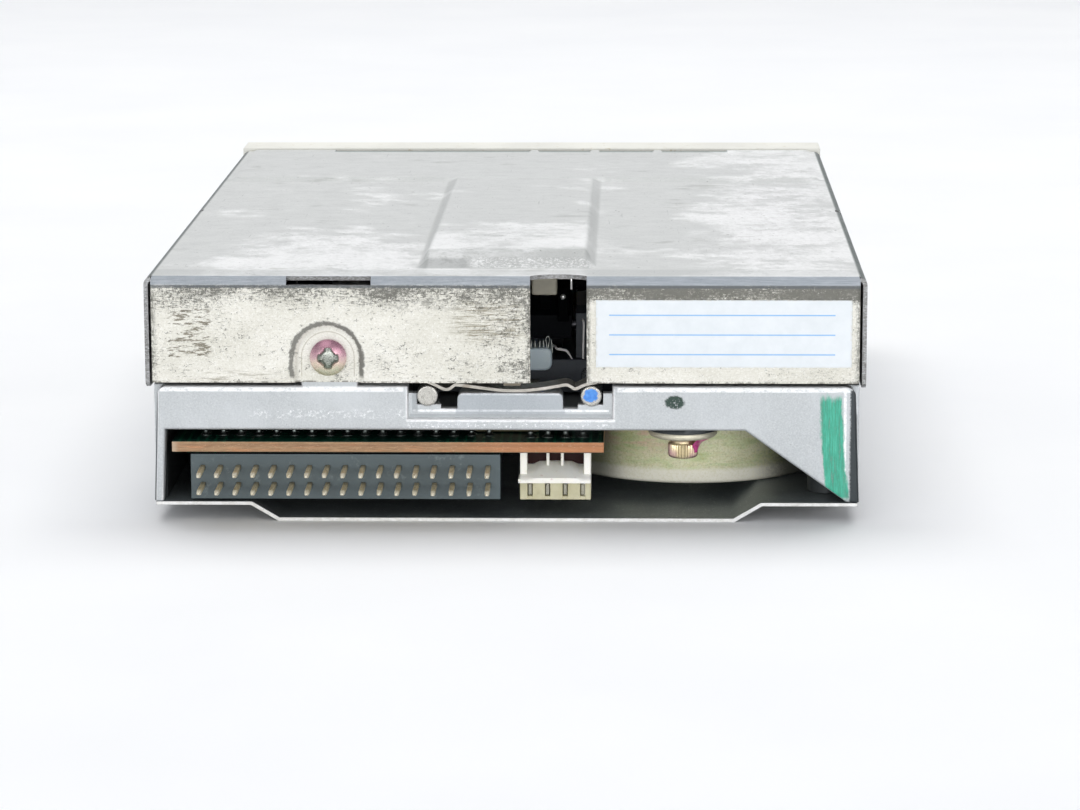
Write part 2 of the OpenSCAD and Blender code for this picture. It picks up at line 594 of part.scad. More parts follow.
module head_lead_clip() {
    color("lightgray") difference() {
        box([hx - 6.4, 47, 20.62], [hx + 1.5, 55.6, 22.3]);
        for (i = [0:4]) rod_y(hx - 5.4 + i * 1.1, 21.8, 46, 57, 0.25, 16);
    }
}

// Flat cable from the carriage down through the deck to the board
module head_flex() {
    t = 0.18;
    p = [[56.05, 17.6], [60, 17.7], [63.2, 17.2], [64.7, 15.6], [64.9, 13.6], [64.6, 11.7]];
    n = len(p);
    color("peru") sweep_x(hx - 4, hx + 5) polygon([for (i = [0:n - 1]) [p[i][0] + (i > 2 ? t : 0), p[i][1] + (i > 2 ? t * 0.3 : t)], for (i = [n - 1:-1:0]) p[i]]);
}

// Things on the arm are drawn lowered, then lifted about the pivot
module lifted() { translate([0, pivot_y, pivot_z]) rotate([-arm_lift, 0, 0]) translate([0, -pivot_y, -pivot_z]) children(); }

module upper_head_arm() {
    color("dimgray") lifted() difference() {
        union() {
            sweep_x(hx - 8.6, hx + 8.6) polygon([[53.6, 23.7], [53.6, 27.2], [45, 28.6], [26, 28.2], [12, 27.4], [8.5, 26], [8.5, 24.7], [46.5, 24.7], [47.5, 23.7]]);
        }
        rod_x(pivot_y, pivot_z, hx - 13, hx + 13, 0.8);
        // lightening pockets
        box([hx - 6, 22, 26.2], [hx + 6, 42, 30]);
        box([hx - 1.2, 46, 26.5], [hx + 6, 55, 30]);
    }
}

module upper_head() {
    color("white") lifted() union() {
        box([hx - 3.4, 10.6, 23.6], [hx + 3.4, 16.4, 24.68]);
        box([hx - 2.2, 11.6, 22.3], [hx - 0.3, 15.4, 23.7]);
        box([hx + 0.3, 11.6, 22.3], [hx + 2.2, 15.4, 23.7]);
    }
}

module arm_load_spring() {
    color("silver") lifted() {
        difference() {
            rod_x(52.2, 28.2, hx + 0.2, hx + 4.6, 1.3);
            rod_x(52.2, 28.2, hx - 1, hx + 6, 0.7);
        }
        box([hx + 4.1, 36, 28.72], [hx + 4.5, 52.4, 29.12]);
    }
}

module track_zero_sensor() {
    color("black") difference() {
        box([17.4, 31, deck_top + 0.02], [23.6, 44, 20.1]);
        box([19.5, 30, 16.8], [21.5, 45, 21]);
    }
}

// ---------------------------------------------------------------- loading mechanism
module slider_plate() {
    z = 15.5;
    color("lightgray") difference() {
        union() {
            box([-48.2, -59.4, z], [48.2, -54, z + 0.8]);
            for (s = [-1, 1]) {
                box([s > 0 ? 43.8 : -48.2, -59.4, z], [s > 0 ? 48.2 : -43.8, 22, z + 0.8]);
                box([s > 0 ? 47.4 : -48.2, -54, z], [s > 0 ? 48.2 : -47.4, 22, 28]);
                // spring hooks
                box([s > 0 ? 40.6 : -44, 4.2, z], [s > 0 ? 44 : -40.6, 7, z + 0.8]);
                box([s > 0 ? 40.6 : -42, 6.2, z], [s > 0 ? 42 : -40.6, 7, 18.6]);
            }
            // tongue of the eject button
            box([31, -71, z], [39, -59, z + 0.8]);
        }
        // sloping slots for the holder's pins
        for (y = pin_y) for (s = [-1, 1]) {
            sweep_x(s > 0 ? 47 : -49, s > 0 ? 49 : -47) {
                w = holder_pin_d + 0.36;
                a = atan2(-holder_drop, slider_travel);
                l = sqrt(holder_drop * holder_drop + slider_travel * slider_travel);
                translate([y, pin_z]) rotate(a) translate([0, -w / 2]) square([l, w]);
                translate([y, pin_z]) circle(d = w, $fn = 32);
                translate([y + slider_travel, pin_z - holder_drop]) circle(d = w, $fn = 32);
            }
        }
    }
}

module eject_button() {
    yf = -77.7;
    color("slategray") difference() {
        union() {
            box([26, yf, 13], [44, yf + 8.7, 19.5]);
            box([29.5, yf + 8, 14.2], [40.5, yf + 11, 17.6]);
        }
        box([30.98, -71.02, 15.48], [39.02, -60, 16.32]);
        box([27.4, yf + 1.6, 14.4], [29, yf + 9, 18.1]);
        box([41, yf + 1.6, 14.4], [42.6, yf + 9, 18.1]);
    }
}

module eject_springs() {
    color("silver") for (s = [-1, 1]) difference() {
        rod_y(s * 41.3, 17.9, -45.7, 6, 1.2, 24);
        rod_y(s * 41.3, 17.9, -47, 6.1, 0.7, 24);
    }
}

module disk_holder() {
    t = 0.7;
    zc = ceil_z;
    xo = 46.6;
    color("silver") difference() {
        union() {
            box([-xo, -62.5, zc], [xo, 22.5, zc + t]);
            for (s = [-1, 1]) {
                box([s > 0 ? xo - 0.8 : -xo, -62.5, holder_z - t], [s > 0 ? xo : -xo + 0.8, 22.5, zc + t]);
                box([s > 0 ? 42.4 : -xo, -62.5, holder_z - t], [s > 0 ? xo : -42.4, 22.5, holder_z]);
                // end stops
                box([s > 0 ? 36 : -xo, 21.8, holder_z - t], [s > 0 ? xo : -36, 22.5, zc + t]);
            }
        }
        // room for the upper head arm
        box([hx - 12, -9.8, zc - 1], [hx + 12, 30, zc + 2]);
        // path of the shutter lever's pin
        translate([lever_p[0], lever_p[1], zc - 1]) rotate([0, 0, 171]) rotate_extrude(angle = 58, $fn = 96) translate([lever_r - 1.5, 0]) square([3, 3]);
        rod_up(lever_p[0], lever_p[1], zc - 1, zc + 2, 1.26);
        // windows and front lead-in
        box([-30, -48, zc - 1], [-16, -22, zc + 2]);
        box([16, -48, zc - 1], [30, -28, zc + 2]);
        sweep_x(-47, 47) polygon([[-63, zc - 1], [-61, zc - 1], [-63, zc + 0.5]]);
    }
}

module holder_pins() {
    color("gray") for (y = pin_y) for (s = [-1, 1]) rod_x(y, pin_z, s > 0 ? 46.62 : -49.7, s > 0 ? 49.7 : -46.62, holder_pin_d / 2);
}

module shutter_lever() {
    z = ceil_z + 0.9;
    a = 222;
    tip = [lever_p[0] + lever_r * cos(a), lever_p[1] + lever_r * sin(a)];
    color("gold") difference() {
        union() {
            rod_up(lever_p[0], lever_p[1], z, z + 0.8, 3.6);
            translate([lever_p[0], lever_p[1], z]) rotate(a) translate([0, -2.4, 0]) cube([lever_r, 4.8, 0.8]);
            rod_up(tip[0], tip[1], z, z + 0.8, 2.4);
            rod_up(tip[0], tip[1], ceil_z - 3.4, z + E, 1.0);
        }
        rod_up(lever_p[0], lever_p[1], z - 1, z + 2, 1.35);
    }
}

module shutter_lever_rivet() {
    color("silver") union() {
        rod_up(lever_p[0], lever_p[1], ceil_z - 0.0, ceil_z + 1.8, 1.25);
        rod_up(lever_p[0], lever_p[1], ceil_z + 1.8 - E, ceil_z + 2.2, 2.2);
    }
}

module shutter_lever_spring() {
    color("lightgray") difference() {
        rod_up(lever_p[0], lever_p[1], ceil_z + 2.25, ceil_z + 3.6, 2.4);
        rod_up(lever_p[0], lever_p[1], ceil_z + 2, ceil_z + 4, 1.7);
    }
}

// ---------------------------------------------------------------- spindle
module spindle_bearing() {
    color("goldenrod") difference() {
        union() {
            rod_up(hx, spindle_y, 4.3, 18.4, 6);
            rod_up(hx, spindle_y, 11.9, deck_z - 0.02, 12);
            rod_up(hx, spindle_y, 13, 17.4, 8);
        }
        rod_up(hx, spindle_y, 2, 20, 2.05);
    }
}

module spindle_board() {
    color("saddlebrown") difference() {
        box([-34, -59.5, 9.2], [33, 6.5, 10.4]);
        rod_up(hx, spindle_y, 8, 12, 6.3);
        box([-35, 4, 8], [-6, 8, 12]);
        box([24, -6, 8], [34, 8, 12]);
        for (p = [[-30, -52], [29, -52], [-0.5, 2.5]]) rod_up(p[0], p[1], 8, 12, 1.2);
    }
}

module stator_core() {
    color("gray") translate([hx, spindle_y, 0]) difference() {
        union() {
            translate([0, 0, 4.6]) cylinder(r = 10, h = 1.8);
            for (i = [0:stator_arms - 1]) rotate(i * 360 / stator_arms) {
                translate([9, -1.0, 4.6]) cube([13.8, 2.0, 1.8]);
            }
            difference() {
                translate([0, 0, 4.6]) cylinder(r = 24.4, h = 1.8, $fn = 96);
                translate([0, 0, 4]) cylinder(r = 22.6, h = 3, $fn = 96);
                for (i = [0:stator_arms - 1]) rotate((i + 0.5) * 360 / stator_arms) translate([20, -1.1, 4]) cube([6, 2.2, 3]);
            }
        }
        translate([0, 0, 4]) cylinder(r = 6.02, h = 4);
    }
}

module stator_coils() {
    color("chocolate") translate([hx, spindle_y, 0]) for (i = [0:stator_arms - 1]) rotate(i * 360 / stator_arms) difference() {
        translate([13, -1.9, 3.9]) cube([8, 3.8, 3.2]);
        translate([12, -1.03, 4.57]) cube([10, 2.06, 1.86]);
    }
}

module spindle_rotor() {
    color("silver") translate([hx, spindle_y, 0]) difference() {
        rotate_extrude($fn = 120) polygon([[2.02, 1.9], [rotor_r - 1.2, 1.9], [rotor_r, 3.0], [rotor_r, 8.4], [rotor_r - 1, 8.4], [rotor_r - 1, 2.9], [7, 2.9], [7, 3.9], [2.02, 3.9]]);
        for (i = [0:5]) rotate(i * 60 + 30) translate([15, 0, 1]) cylinder(r = 2.6, h = 3);
    }
}

module rotor_magnet() {
    color("dimgray") translate([hx, spindle_y, 0]) difference() {
        translate([0, 0, 3]) cylinder(r = rotor_r - 1.02, h = 5.2, $fn = 120);
        translate([0, 0, 2]) cylinder(r = rotor_r - 3.2, h = 8, $fn = 120);
    }
}

module spindle_shaft() { color("silver") rod_up(hx, spindle_y, 1.7, 21.9, 2.0); }

module disk_hub() {
    color("gainsboro") translate([hx, spindle_y, 0]) difference() {
        union() {
            translate([0, 0, 18.6]) cylinder(r = 12.4, h = 2.2, $fn = 64);
            translate([0, 0, 18.6]) cylinder(r = 4.6, h = 2.5);
        }
        translate([0, 0, 18]) cylinder(r = 2.02, h = 6);
        difference() {
            translate([0, 0, 19.6]) cylinder(r = 10.6, h = 3, $fn = 64);
            translate([0, 0, 18]) cylinder(r = 5.4, h = 6);
        }
        translate([8.4, 0, 18]) cylinder(r = 1.18, h = 3, $fn = 24);
    }
}

module hub_magnet() {
    color("dimgray") translate([hx, spindle_y, 0]) difference() {
        translate([0, 0, 19.62]) cylinder(r = 10.5, h = 0.9, $fn = 64);
        translate([0, 0, 19]) cylinder(r = 5.5, h = 3);
        translate([8.4, 0, 19]) cylinder(r = 1.7, h = 3, $fn = 24);
    }
}

module drive_pin() {
    color("silver") translate([hx + 8.4, spindle_y, 0]) cylinder(r = 1.1, h = 22.0, $fn = 24);
}
module place_pin() { intersection() { drive_pin(); box([-20, -60, 18.7], [20, 20, 30]); } }

module sensor_body(x, y) {
    difference() {
        box([x - 2.6, y - 3.4, deck_top + 0.02], [x + 2.6, y + 3.4, 18.9]);
        rod_up(x, y, 17, 20, 1.08, 32);
    }
}
module protect_switch() { color("black") sensor_body(36, -38); }
module disk_switch() { color("black") sensor_body(-36, -38); }
module protect_plunger() { color("white") rod_up(36, -38, 18.3, 21.4, 1.0, 32); }
module disk_plunger() { color("white") rod_up(-36, -38, 18.3, 21.4, 1.0, 32); }

chassis();
top_cover();
cover_screw();
rear_label();
bottom_shield();
shield_screws();
front_bezel();
activity_lens();
dust_door();
door_spring();
place_board();  // logic_board
board_screws();
board_chips();
board_capacitors();
solder_joints();
interface_header();
interface_pins();
power_connector();
power_contacts();
stepper_can();
stepper_clamps();
stepper_clamp_screws();
stepper_shaft();
capstan();
band_wrap();
guide_rods();
rod_clamp_spring();
head_carriage();
drive_band();
lower_head();
arm_pivot_pin();
head_lead_clip();
head_flex();
upper_head_arm();
upper_head();
arm_load_spring();
track_zero_sensor();
slider_plate();
eject_button();
eject_springs();
disk_holder();
holder_pins();
shutter_lever();
shutter_lever_rivet();
shutter_lever_spring();
spindle_bearing();
spindle_board();
stator_core();
stator_coils();
spindle_rotor();
rotor_magnet();
spindle_shaft();
disk_hub();
hub_magnet();
place_pin();  // drive_pin
protect_switch();
protect_plunger();
disk_switch();
disk_plunger();
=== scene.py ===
import bpy, bmesh, json, math, random
import numpy as np
from mathutils import Vector, Matrix, Quaternion, noise as mnoise


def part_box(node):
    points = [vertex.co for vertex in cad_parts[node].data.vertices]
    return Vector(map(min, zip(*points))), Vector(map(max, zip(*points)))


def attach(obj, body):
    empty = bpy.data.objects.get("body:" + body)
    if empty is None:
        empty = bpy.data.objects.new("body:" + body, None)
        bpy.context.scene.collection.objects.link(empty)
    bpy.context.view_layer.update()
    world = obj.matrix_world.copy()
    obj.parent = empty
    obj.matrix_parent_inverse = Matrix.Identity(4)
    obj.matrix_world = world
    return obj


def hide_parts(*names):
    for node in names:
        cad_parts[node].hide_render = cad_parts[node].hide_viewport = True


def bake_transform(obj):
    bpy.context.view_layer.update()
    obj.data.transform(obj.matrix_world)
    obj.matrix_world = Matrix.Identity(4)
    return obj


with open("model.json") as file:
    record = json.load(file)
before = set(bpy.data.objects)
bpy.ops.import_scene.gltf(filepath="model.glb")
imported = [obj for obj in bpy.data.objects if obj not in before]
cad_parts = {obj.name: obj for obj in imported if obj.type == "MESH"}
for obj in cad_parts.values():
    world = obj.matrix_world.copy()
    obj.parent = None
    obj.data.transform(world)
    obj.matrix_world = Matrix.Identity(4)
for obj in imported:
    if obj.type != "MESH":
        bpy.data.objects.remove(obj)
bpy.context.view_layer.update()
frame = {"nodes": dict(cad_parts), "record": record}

MM = 0.001
NODES = frame["nodes"]
RY = 71.5          # rear face of the casting
LY = 73.5          # outer face of the cover's lip
CZ = 35.5          # flat top of the cover


# ------------------------------------------------------------------ shader helpers
def is_sock(v):
    return isinstance(v, bpy.types.NodeSocket)


class Mat:
    def __init__(self, name):
        self.m = bpy.data.materials.new(name)
        self.m.use_nodes = True
        self.t = self.m.node_tree
        self.t.nodes.clear()
        self.out = self.n("ShaderNodeOutputMaterial")
        self.b = self.n("ShaderNodeBsdfPrincipled")
        self.l(self.b.outputs[0], self.out.inputs[0])
        self.obj = self.n("ShaderNodeTexCoord").outputs["Object"]
        self._xyz = None
        self._nrm = None

    def n(self, kind, **kw):
        nd = self.t.nodes.new(kind)
        for k, v in kw.items():
            setattr(nd, k, v)
        return nd

    def l(self, a, b):
        self.t.links.new(a, b)

    def put(self, sock, v):
        if is_sock(v):
            self.l(v, sock)
        elif v is not None:
            if isinstance(v, (tuple, list)) and len(v) == 3 and sock.type == "RGBA":
                v = (*v, 1)
            sock.default_value = v

    def p(self, **kw):
        names = {"color": "Base Color", "metal": "Metallic", "rough": "Roughness", "normal": "Normal", "ior": "IOR", "alpha": "Alpha",
                 "coat": "Coat Weight", "coat_rough": "Coat Roughness", "sss": "Subsurface Weight", "trans": "Transmission Weight",
                 "aniso": "Anisotropic", "spec": "Specular IOR Level"}
        for k, v in kw.items():
            self.put(self.b.inputs[names[k]], v)
        return self.m

    # position in millimetres, split
    def xyz(self):
        if self._xyz is None:
            s = self.n("ShaderNodeVectorMath", operation="SCALE")
            self.l(self.obj, s.inputs[0])
            s.inputs["Scale"].default_value = 1000.0
            sp = self.n("ShaderNodeSeparateXYZ")
            self.l(s.outputs[0], sp.inputs[0])
            self._xyz = sp.outputs
        return self._xyz

    def nrm(self):
        if self._nrm is None:
            g = self.n("ShaderNodeNewGeometry")
            sp = self.n("ShaderNodeSeparateXYZ")
            self.l(g.outputs["Normal"], sp.inputs[0])
            self._nrm = sp.outputs
        return self._nrm

    def vec(self, sx, sy=None, sz=None, loc=(0, 0, 0), rot=(0, 0, 0)):
        """object coordinates in millimetres times a scale on each axis"""
        sy = sx if sy is None else sy
        sz = sx if sz is None else sz
        mp = self.n("ShaderNodeMapping")
        self.l(self.obj, mp.inputs[0])
        mp.inputs["Rotation"].default_value = rot
        mp.inputs["Scale"].default_value = (sx * 1000, sy * 1000, sz * 1000)
        mp.inputs["Location"].default_value = loc
        return mp.outputs[0]

    def noise(self, vec, detail=4, rough=.55, dist=0.0, scale=1.0):
        nd = self.n("ShaderNodeTexNoise")
        self.l(vec, nd.inputs["Vector"])
        nd.inputs["Scale"].default_value = scale
        nd.inputs["Detail"].default_value = detail
        nd.inputs["Roughness"].default_value = rough
        nd.inputs["Distortion"].default_value = dist
        return nd.outputs["Fac"]

    def vor(self, vec, scale=1.0, feature="F1", out="Distance"):
        nd = self.n("ShaderNodeTexVoronoi", feature=feature)
        self.l(vec, nd.inputs["Vector"])
        nd.inputs["Scale"].default_value = scale
        return nd.outputs[out]

    def math(self, op, a, b=None, c=None, clamp=False):
        nd = self.n("ShaderNodeMath", operation=op, use_clamp=clamp)
        self.put(nd.inputs[0], a)
        if b is not None:
            self.put(nd.inputs[1], b)
        if c is not None:
            self.put(nd.inputs[2], c)
        return nd.outputs[0]

    def add(self, a, b): return self.math("ADD", a, b)
    def sub(self, a, b): return self.math("SUBTRACT", a, b)
    def mul(self, a, b): return self.math("MULTIPLY", a, b)
    def mx(self, a, b): return self.math("MAXIMUM", a, b)
    def mn(self, a, b): return self.math("MINIMUM", a, b)

    def step(self, v, a, b, lo=0.0, hi=1.0):
        nd = self.n("ShaderNodeMapRange", interpolation_type="SMOOTHSTEP")
        self.put(nd.inputs[0], v)
        nd.inputs[1].default_value, nd.inputs[2].default_value = a, b
        nd.inputs[3].default_value, nd.inputs[4].default_value = lo, hi
        return nd.outputs[0]

    def lin(self, v, a, b, lo=0.0, hi=1.0):
        nd = self.n("ShaderNodeMapRange")
        nd.clamp = True
        self.put(nd.inputs[0], v)
        nd.inputs[1].default_value, nd.inputs[2].default_value = a, b
        nd.inputs[3].default_value, nd.inputs[4].default_value = lo, hi
        return nd.outputs[0]

    def ramp(self, fac, stops, mode="LINEAR"):
        nd = self.n("ShaderNodeValToRGB")
        nd.color_ramp.interpolation = mode
        e = nd.color_ramp.elements
        e[0].position, e[0].color = stops[0][0], (*stops[0][1], 1)
        e[1].position, e[1].color = stops[-1][0], (*stops[-1][1], 1)
        for ps, c in stops[1:-1]:
            q = e.new(ps)
            q.color = (*c, 1)
        self.l(fac, nd.inputs[0])
        return nd.outputs[0]

    def mix(self, fac, a, b):
        nd = self.n("ShaderNodeMix", data_type="RGBA")
        self.put(nd.inputs[0], fac)
        self.put(nd.inputs[6], a)
        self.put(nd.inputs[7], b)
        return nd.outputs[2]

    def mixf(self, fac, a, b):
        nd = self.n("ShaderNodeMix", data_type="FLOAT")
        self.put(nd.inputs[0], fac)
        self.put(nd.inputs[2], a)
        self.put(nd.inputs[3], b)
        return nd.outputs[0]

    def bump(self, height, dist, strength=1.0, normal=None):
        nd = self.n("ShaderNodeBump")
        nd.inputs["Strength"].default_value = strength
        nd.inputs["Distance"].default_value = dist * MM
        self.l(height, nd.inputs["Height"])
        if normal is not None:
            self.l(normal, nd.inputs["Normal"])
        return nd.outputs[0]

    def bevel(self, radius):
        nd = self.n("ShaderNodeBevel", samples=4)
        nd.inputs["Radius"].default_value = radius * MM
        return nd.outputs[0]

    def edge(self, radius, lo=0.02, hi=0.25):
        """1 near edges, 0 on flats"""
        bv = self.n("ShaderNodeBevel", samples=4)
        bv.inputs["Radius"].default_value = radius * MM
        g = self.n("ShaderNodeNewGeometry")
        d = self.n("ShaderNodeVectorMath", operation="DOT_PRODUCT")
        self.l(bv.outputs[0], d.inputs[0])
        self.l(g.outputs["Normal"], d.inputs[1])
        return self.step(self.sub(1.0, d.outputs["Value"]), lo, hi)


def lin(r, g, b):
    """screen colour (0 to 255) to the scene's linear values"""
    return tuple((v / 255 / 12.92 if v / 255 <= .04045 else ((v / 255 + .055) / 1.055) ** 2.4) for v in (r, g, b))


def metal(name, base, rough=.35, var=.06, grain=(3, 3, 3), bump=.01, bevel=.15, metalness=1.0, dark=None, edge_light=.0, tint=None):
    m = Mat(name)
    a = m.noise(m.vec(*grain), 5, .6)
    c = m.noise(m.vec(.12), 4, .6)
    lo = tuple(v * (1 - var * 2.2) for v in base)
    hi = tuple(min(1, v * (1 + var)) for v in base)
    col = m.ramp(a, [(.3, lo), (.7, hi)])
    col = m.mix(m.step(c, .45, .75, 0, .5), col, dark or tuple(v * .72 for v in base))
    if tint:
        col = m.mix(m.step(m.noise(m.vec(.22, loc=(3, 1, 7)), 3), .42, .62), col, tint)
    if edge_light:
        col = m.mix(m.mul(m.edge(.3), edge_light), col, (.9, .9, .9))
    r = m.mixf(m.step(c, .35, .7), rough * .85, min(1, rough * 1.35))
    nb = m.bevel(bevel) if bevel else None
    m.p(color=col, metal=metalness, rough=r, normal=m.bump(a, bump, 1, nb))
    return m.m


def plastic(name, base, rough=.5, var=.06, grain=2.5, bump=.012, bevel=.2, dirt=None, sss=0.0, spec=.5):
    m = Mat(name)
    a = m.noise(m.vec(grain), 6, .62)
    c = m.noise(m.vec(.09), 4, .6)
    col = m.mix(m.step(c, .35, .7), tuple(v * (1 - var) for v in base), tuple(min(1, v * (1 + var)) for v in base))
    col = m.mix(m.step(a, .55, .75, 0, .35), col, tuple(v * .8 for v in base))
    if dirt:
        col = m.mix(m.step(m.noise(m.vec(.5, loc=(5, 5, 5)), 5, .7), .58, .74, 0, .7), col, dirt)
    r = m.mixf(c, rough * .85, min(1, rough * 1.15))
    nb = m.bevel(bevel) if bevel else None
    m.p(color=col, rough=r, normal=m.bump(a, bump, 1, nb), spec=spec)
    if sss:
        m.p(sss=sss)
        m.b.inputs["Subsurface Radius"].default_value = (.002, .0016, .001)
    return m.m


# ------------------------------------------------------------------ finishes
def mat_cover_top():
    """worn zinc plate: grey film rubbed through to white in grainy patches"""
    m = Mat("plated_top")
    x, y, z = m.xyz()
    nx, ny, nz = m.nrm()
    ax = m.math("ABSOLUTE", x)
    big = m.noise(m.vec(.045, .055, .05, loc=(2.3, .4, 0)), 9, .70)
    mid = m.noise(m.vec(.24, .34, .3, loc=(1, 2, 3)), 6, .72)
    fine = m.noise(m.vec(1.1, 1.7, 1.5), 4, .75)
    grit = m.noise(m.vec(3.4, 4.6, 5), 3, .7)
    # where the plate has been handled most
    bias = m.mul(m.step(x, -18, -36), .085)
    bias = m.add(bias, m.mul(m.mul(m.step(x, 2, 16), m.step(x, 46, 34)), m.mul(m.step(y, 22, 38), .07)))
    bias = m.add(bias, m.mul(m.mul(m.step(ax, 12.0, 10.5), m.step(y, 20, 52)), .10))
    bias = m.add(bias, m.lin(y, 5, -60, 0.0, -.035))
    bias = m.add(bias, m.mul(m.step(x, 42, 50), -.04))
    f = m.add(m.add(m.mul(big, .62), m.mul(mid, .28)), m.add(m.mul(fine, .14), bias))
    worn = m.step(f, .54, .63)
    brk = m.step(m.add(m.mul(fine, .6), m.mul(grit, .4)), .40, .56)
    worn2 = m.mul(worn, m.mixf(m.step(f, .58, .72), brk, m.mixf(brk, .62, 1.0)))
    base = m.ramp(mid, [(.28, lin(228, 229, 226)), (.5, lin(238, 239, 236)), (.74, lin(244, 245, 242))])
    base = m.mix(m.mul(m.step(fine, .40, .66), .35), base, lin(232, 233, 231))
    base = m.mix(m.mul(m.step(grit, .50, .30), .32), base, lin(184, 186, 182))
    # fine long scratches from sliding in and out of its bay
    scr = m.step(m.noise(m.vec(4.5, .06, 1, loc=(1, 4, 2)), 3, .72), .66, .71)
    base = m.mix(m.mul(scr, .38), base, lin(240, 241, 239))
    scr2 = m.step(m.noise(m.vec(3.2, .09, 1, rot=(0, 0, .22), loc=(7, 1, 2)), 2, .7), .70, .73)
    base = m.mix(m.mul(scr2, .4), base, lin(168, 170, 166))
    col = m.mix(worn2, base, lin(250, 250, 249))
    # small dark specks and a few faint stains
    speck = m.step(m.noise(m.vec(1.2, 1.5, 1, loc=(9, 2, 0)), 2, .5), .725, .75)
    col = m.mix(m.mul(speck, .65), col, lin(92, 88, 80))
    stain = m.mul(m.step(m.noise(m.vec(.07, .12, .1, loc=(4, 8, 1)), 5, .65), .60, .70), .30)
    col = m.mix(stain, col, lin(150, 152, 142))
    # painted shade along the raised panel's side slopes
    sl = m.mul(m.mul(m.step(ax, 10.9, 11.5), m.step(ax, 12.95, 12.4)), m.mul(m.step(y, -27.5, -25), m.step(y, 64.5, 62)))
    sl = m.mul(sl, m.step(mid, .30, .52, .45, 1))
    col = m.mix(m.mul(sl, .30), col, lin(150, 153, 150))
    # the panel's rear slope: painted shade above, and along its foot a bright broken band that is partly rubbed plating
    # and partly painted highlight; the rest of the foot gets painted shade
    inx = m.step(ax, 12.4, 11.4)
    rear_slope_shade = m.mul(inx, m.mul(m.step(y, 61.0, 61.7), m.step(y, 63.9, 63.1)))
    rear_slope_shade = m.mul(rear_slope_shade, m.lin(y, -35, 55, .50, 1.0))
    col = m.mix(m.mul(rear_slope_shade, m.mixf(mid, .20, .40)), col, lin(132, 136, 134))
    slope_foot_highlight = m.mul(m.mul(m.step(x, 6.5, 4.0), m.step(x, -13.2, -12.0)), m.mul(m.step(y, 63.0, 63.7), m.step(y, 66.0, 65.2)))
    slope_foot_highlight = m.mul(slope_foot_highlight, m.step(m.add(m.mul(m.noise(m.vec(2.0, 3.2, 1.5, loc=(6, 6, 6)), 4, .8), .6), m.mul(grit, .4)), .49, .56))
    col = m.mix(m.mul(slope_foot_highlight, .95), col, lin(250, 250, 249))
    slope_foot_shade = m.mul(m.mul(m.step(x, 4.5, 6.5), m.step(x, 13.2, 12.2)), m.mul(m.step(y, 63.2, 63.8), m.step(y, 65.8, 65.2)))
    body = m.mul(inx, m.mul(m.step(y, 63.0, 63.6), m.step(y, 66.4, 65.6)))
    col = m.mix(m.mul(m.mul(body, m.sub(1.0, slope_foot_highlight)), .34), col, lin(150, 153, 151))
    col = m.mix(m.mul(slope_foot_shade, .4), col, lin(134, 137, 136))
    # painted shade along the front step's slope on either side of the panel
    fs = m.mul(m.mul(m.step(y, -29.2, -28.2), m.step(y, -25.6, -26.6)), m.step(ax, 12.9, 13.6))
    col = m.mix(m.mul(fs, .16), col, lin(168, 171, 168))
    # the flat strip before the bend is duller; the bend itself gets a painted bluish reflection
    strip = m.mul(m.step(y, 66.2, 67.4), m.step(y, 72.6, 71.6))
    col = m.mix(m.mul(strip, m.mixf(mid, .10, .42)), col, lin(176, 181, 180))
    rear_bend_reflection = m.mul(m.step(y, 72.25, 72.6), m.step(z, 34.0, 34.3))
    bend_reflection_col = m.ramp(mid, [(.3, lin(138, 146, 155)), (.6, lin(160, 168, 177)), (.8, lin(182, 188, 195))])
    col = m.mix(m.mul(rear_bend_reflection, .9), col, bend_reflection_col)
    # side bends: painted shade, dark greenish
    side_bend_shade = m.mul(m.step(ax, 49.55, 49.95), m.step(z, 36.4, 35.6))
    side_bend_shade_col = m.ramp(mid, [(.3, lin(70, 78, 77)), (.6, lin(92, 101, 98)), (.8, lin(124, 131, 127))])
    col = m.mix(m.mul(side_bend_shade, .92), col, side_bend_shade_col)
    # painted shade: a teal-grey strip along the front cut, broken at the three tabs, for the shaded gap above the bezel
    front_gap_shade = m.mul(m.mul(m.step(y, -62.9, -63.4), m.step(y, -66.4, -66.0)), m.step(ax, 34.6, 34.2))
    for tx in (-.6, -11.2, -22.2):
        front_gap_shade = m.mul(front_gap_shade, m.step(m.math("ABSOLUTE", m.sub(x, tx)), .7, .95))
    col = m.mix(m.mul(front_gap_shade, .62), col, lin(112, 134, 128))
    allb = m.mx(side_bend_shade, rear_bend_reflection)
    r = m.mixf(worn2, m.lin(fine, .2, .8, .32, .46), .62)
    mt = m.mixf(worn2, m.mixf(allb, .62, .15), .10)
    h = m.add(m.mul(fine, .45), m.mul(grit, .55))
    mt = m.mul(mt, .62)
    m.p(color=col, metal=mt, rough=r, normal=m.bump(h, .016, .8))
    return m.m


def u_dist(m, cx, cz):
    x, y, z = m.xyz()
    dx = m.sub(x, cx)
    dz = m.mx(m.sub(z, cz), 0.0)
    return m.math("SQRT", m.add(m.mul(dx, dx), m.mul(dz, dz)))


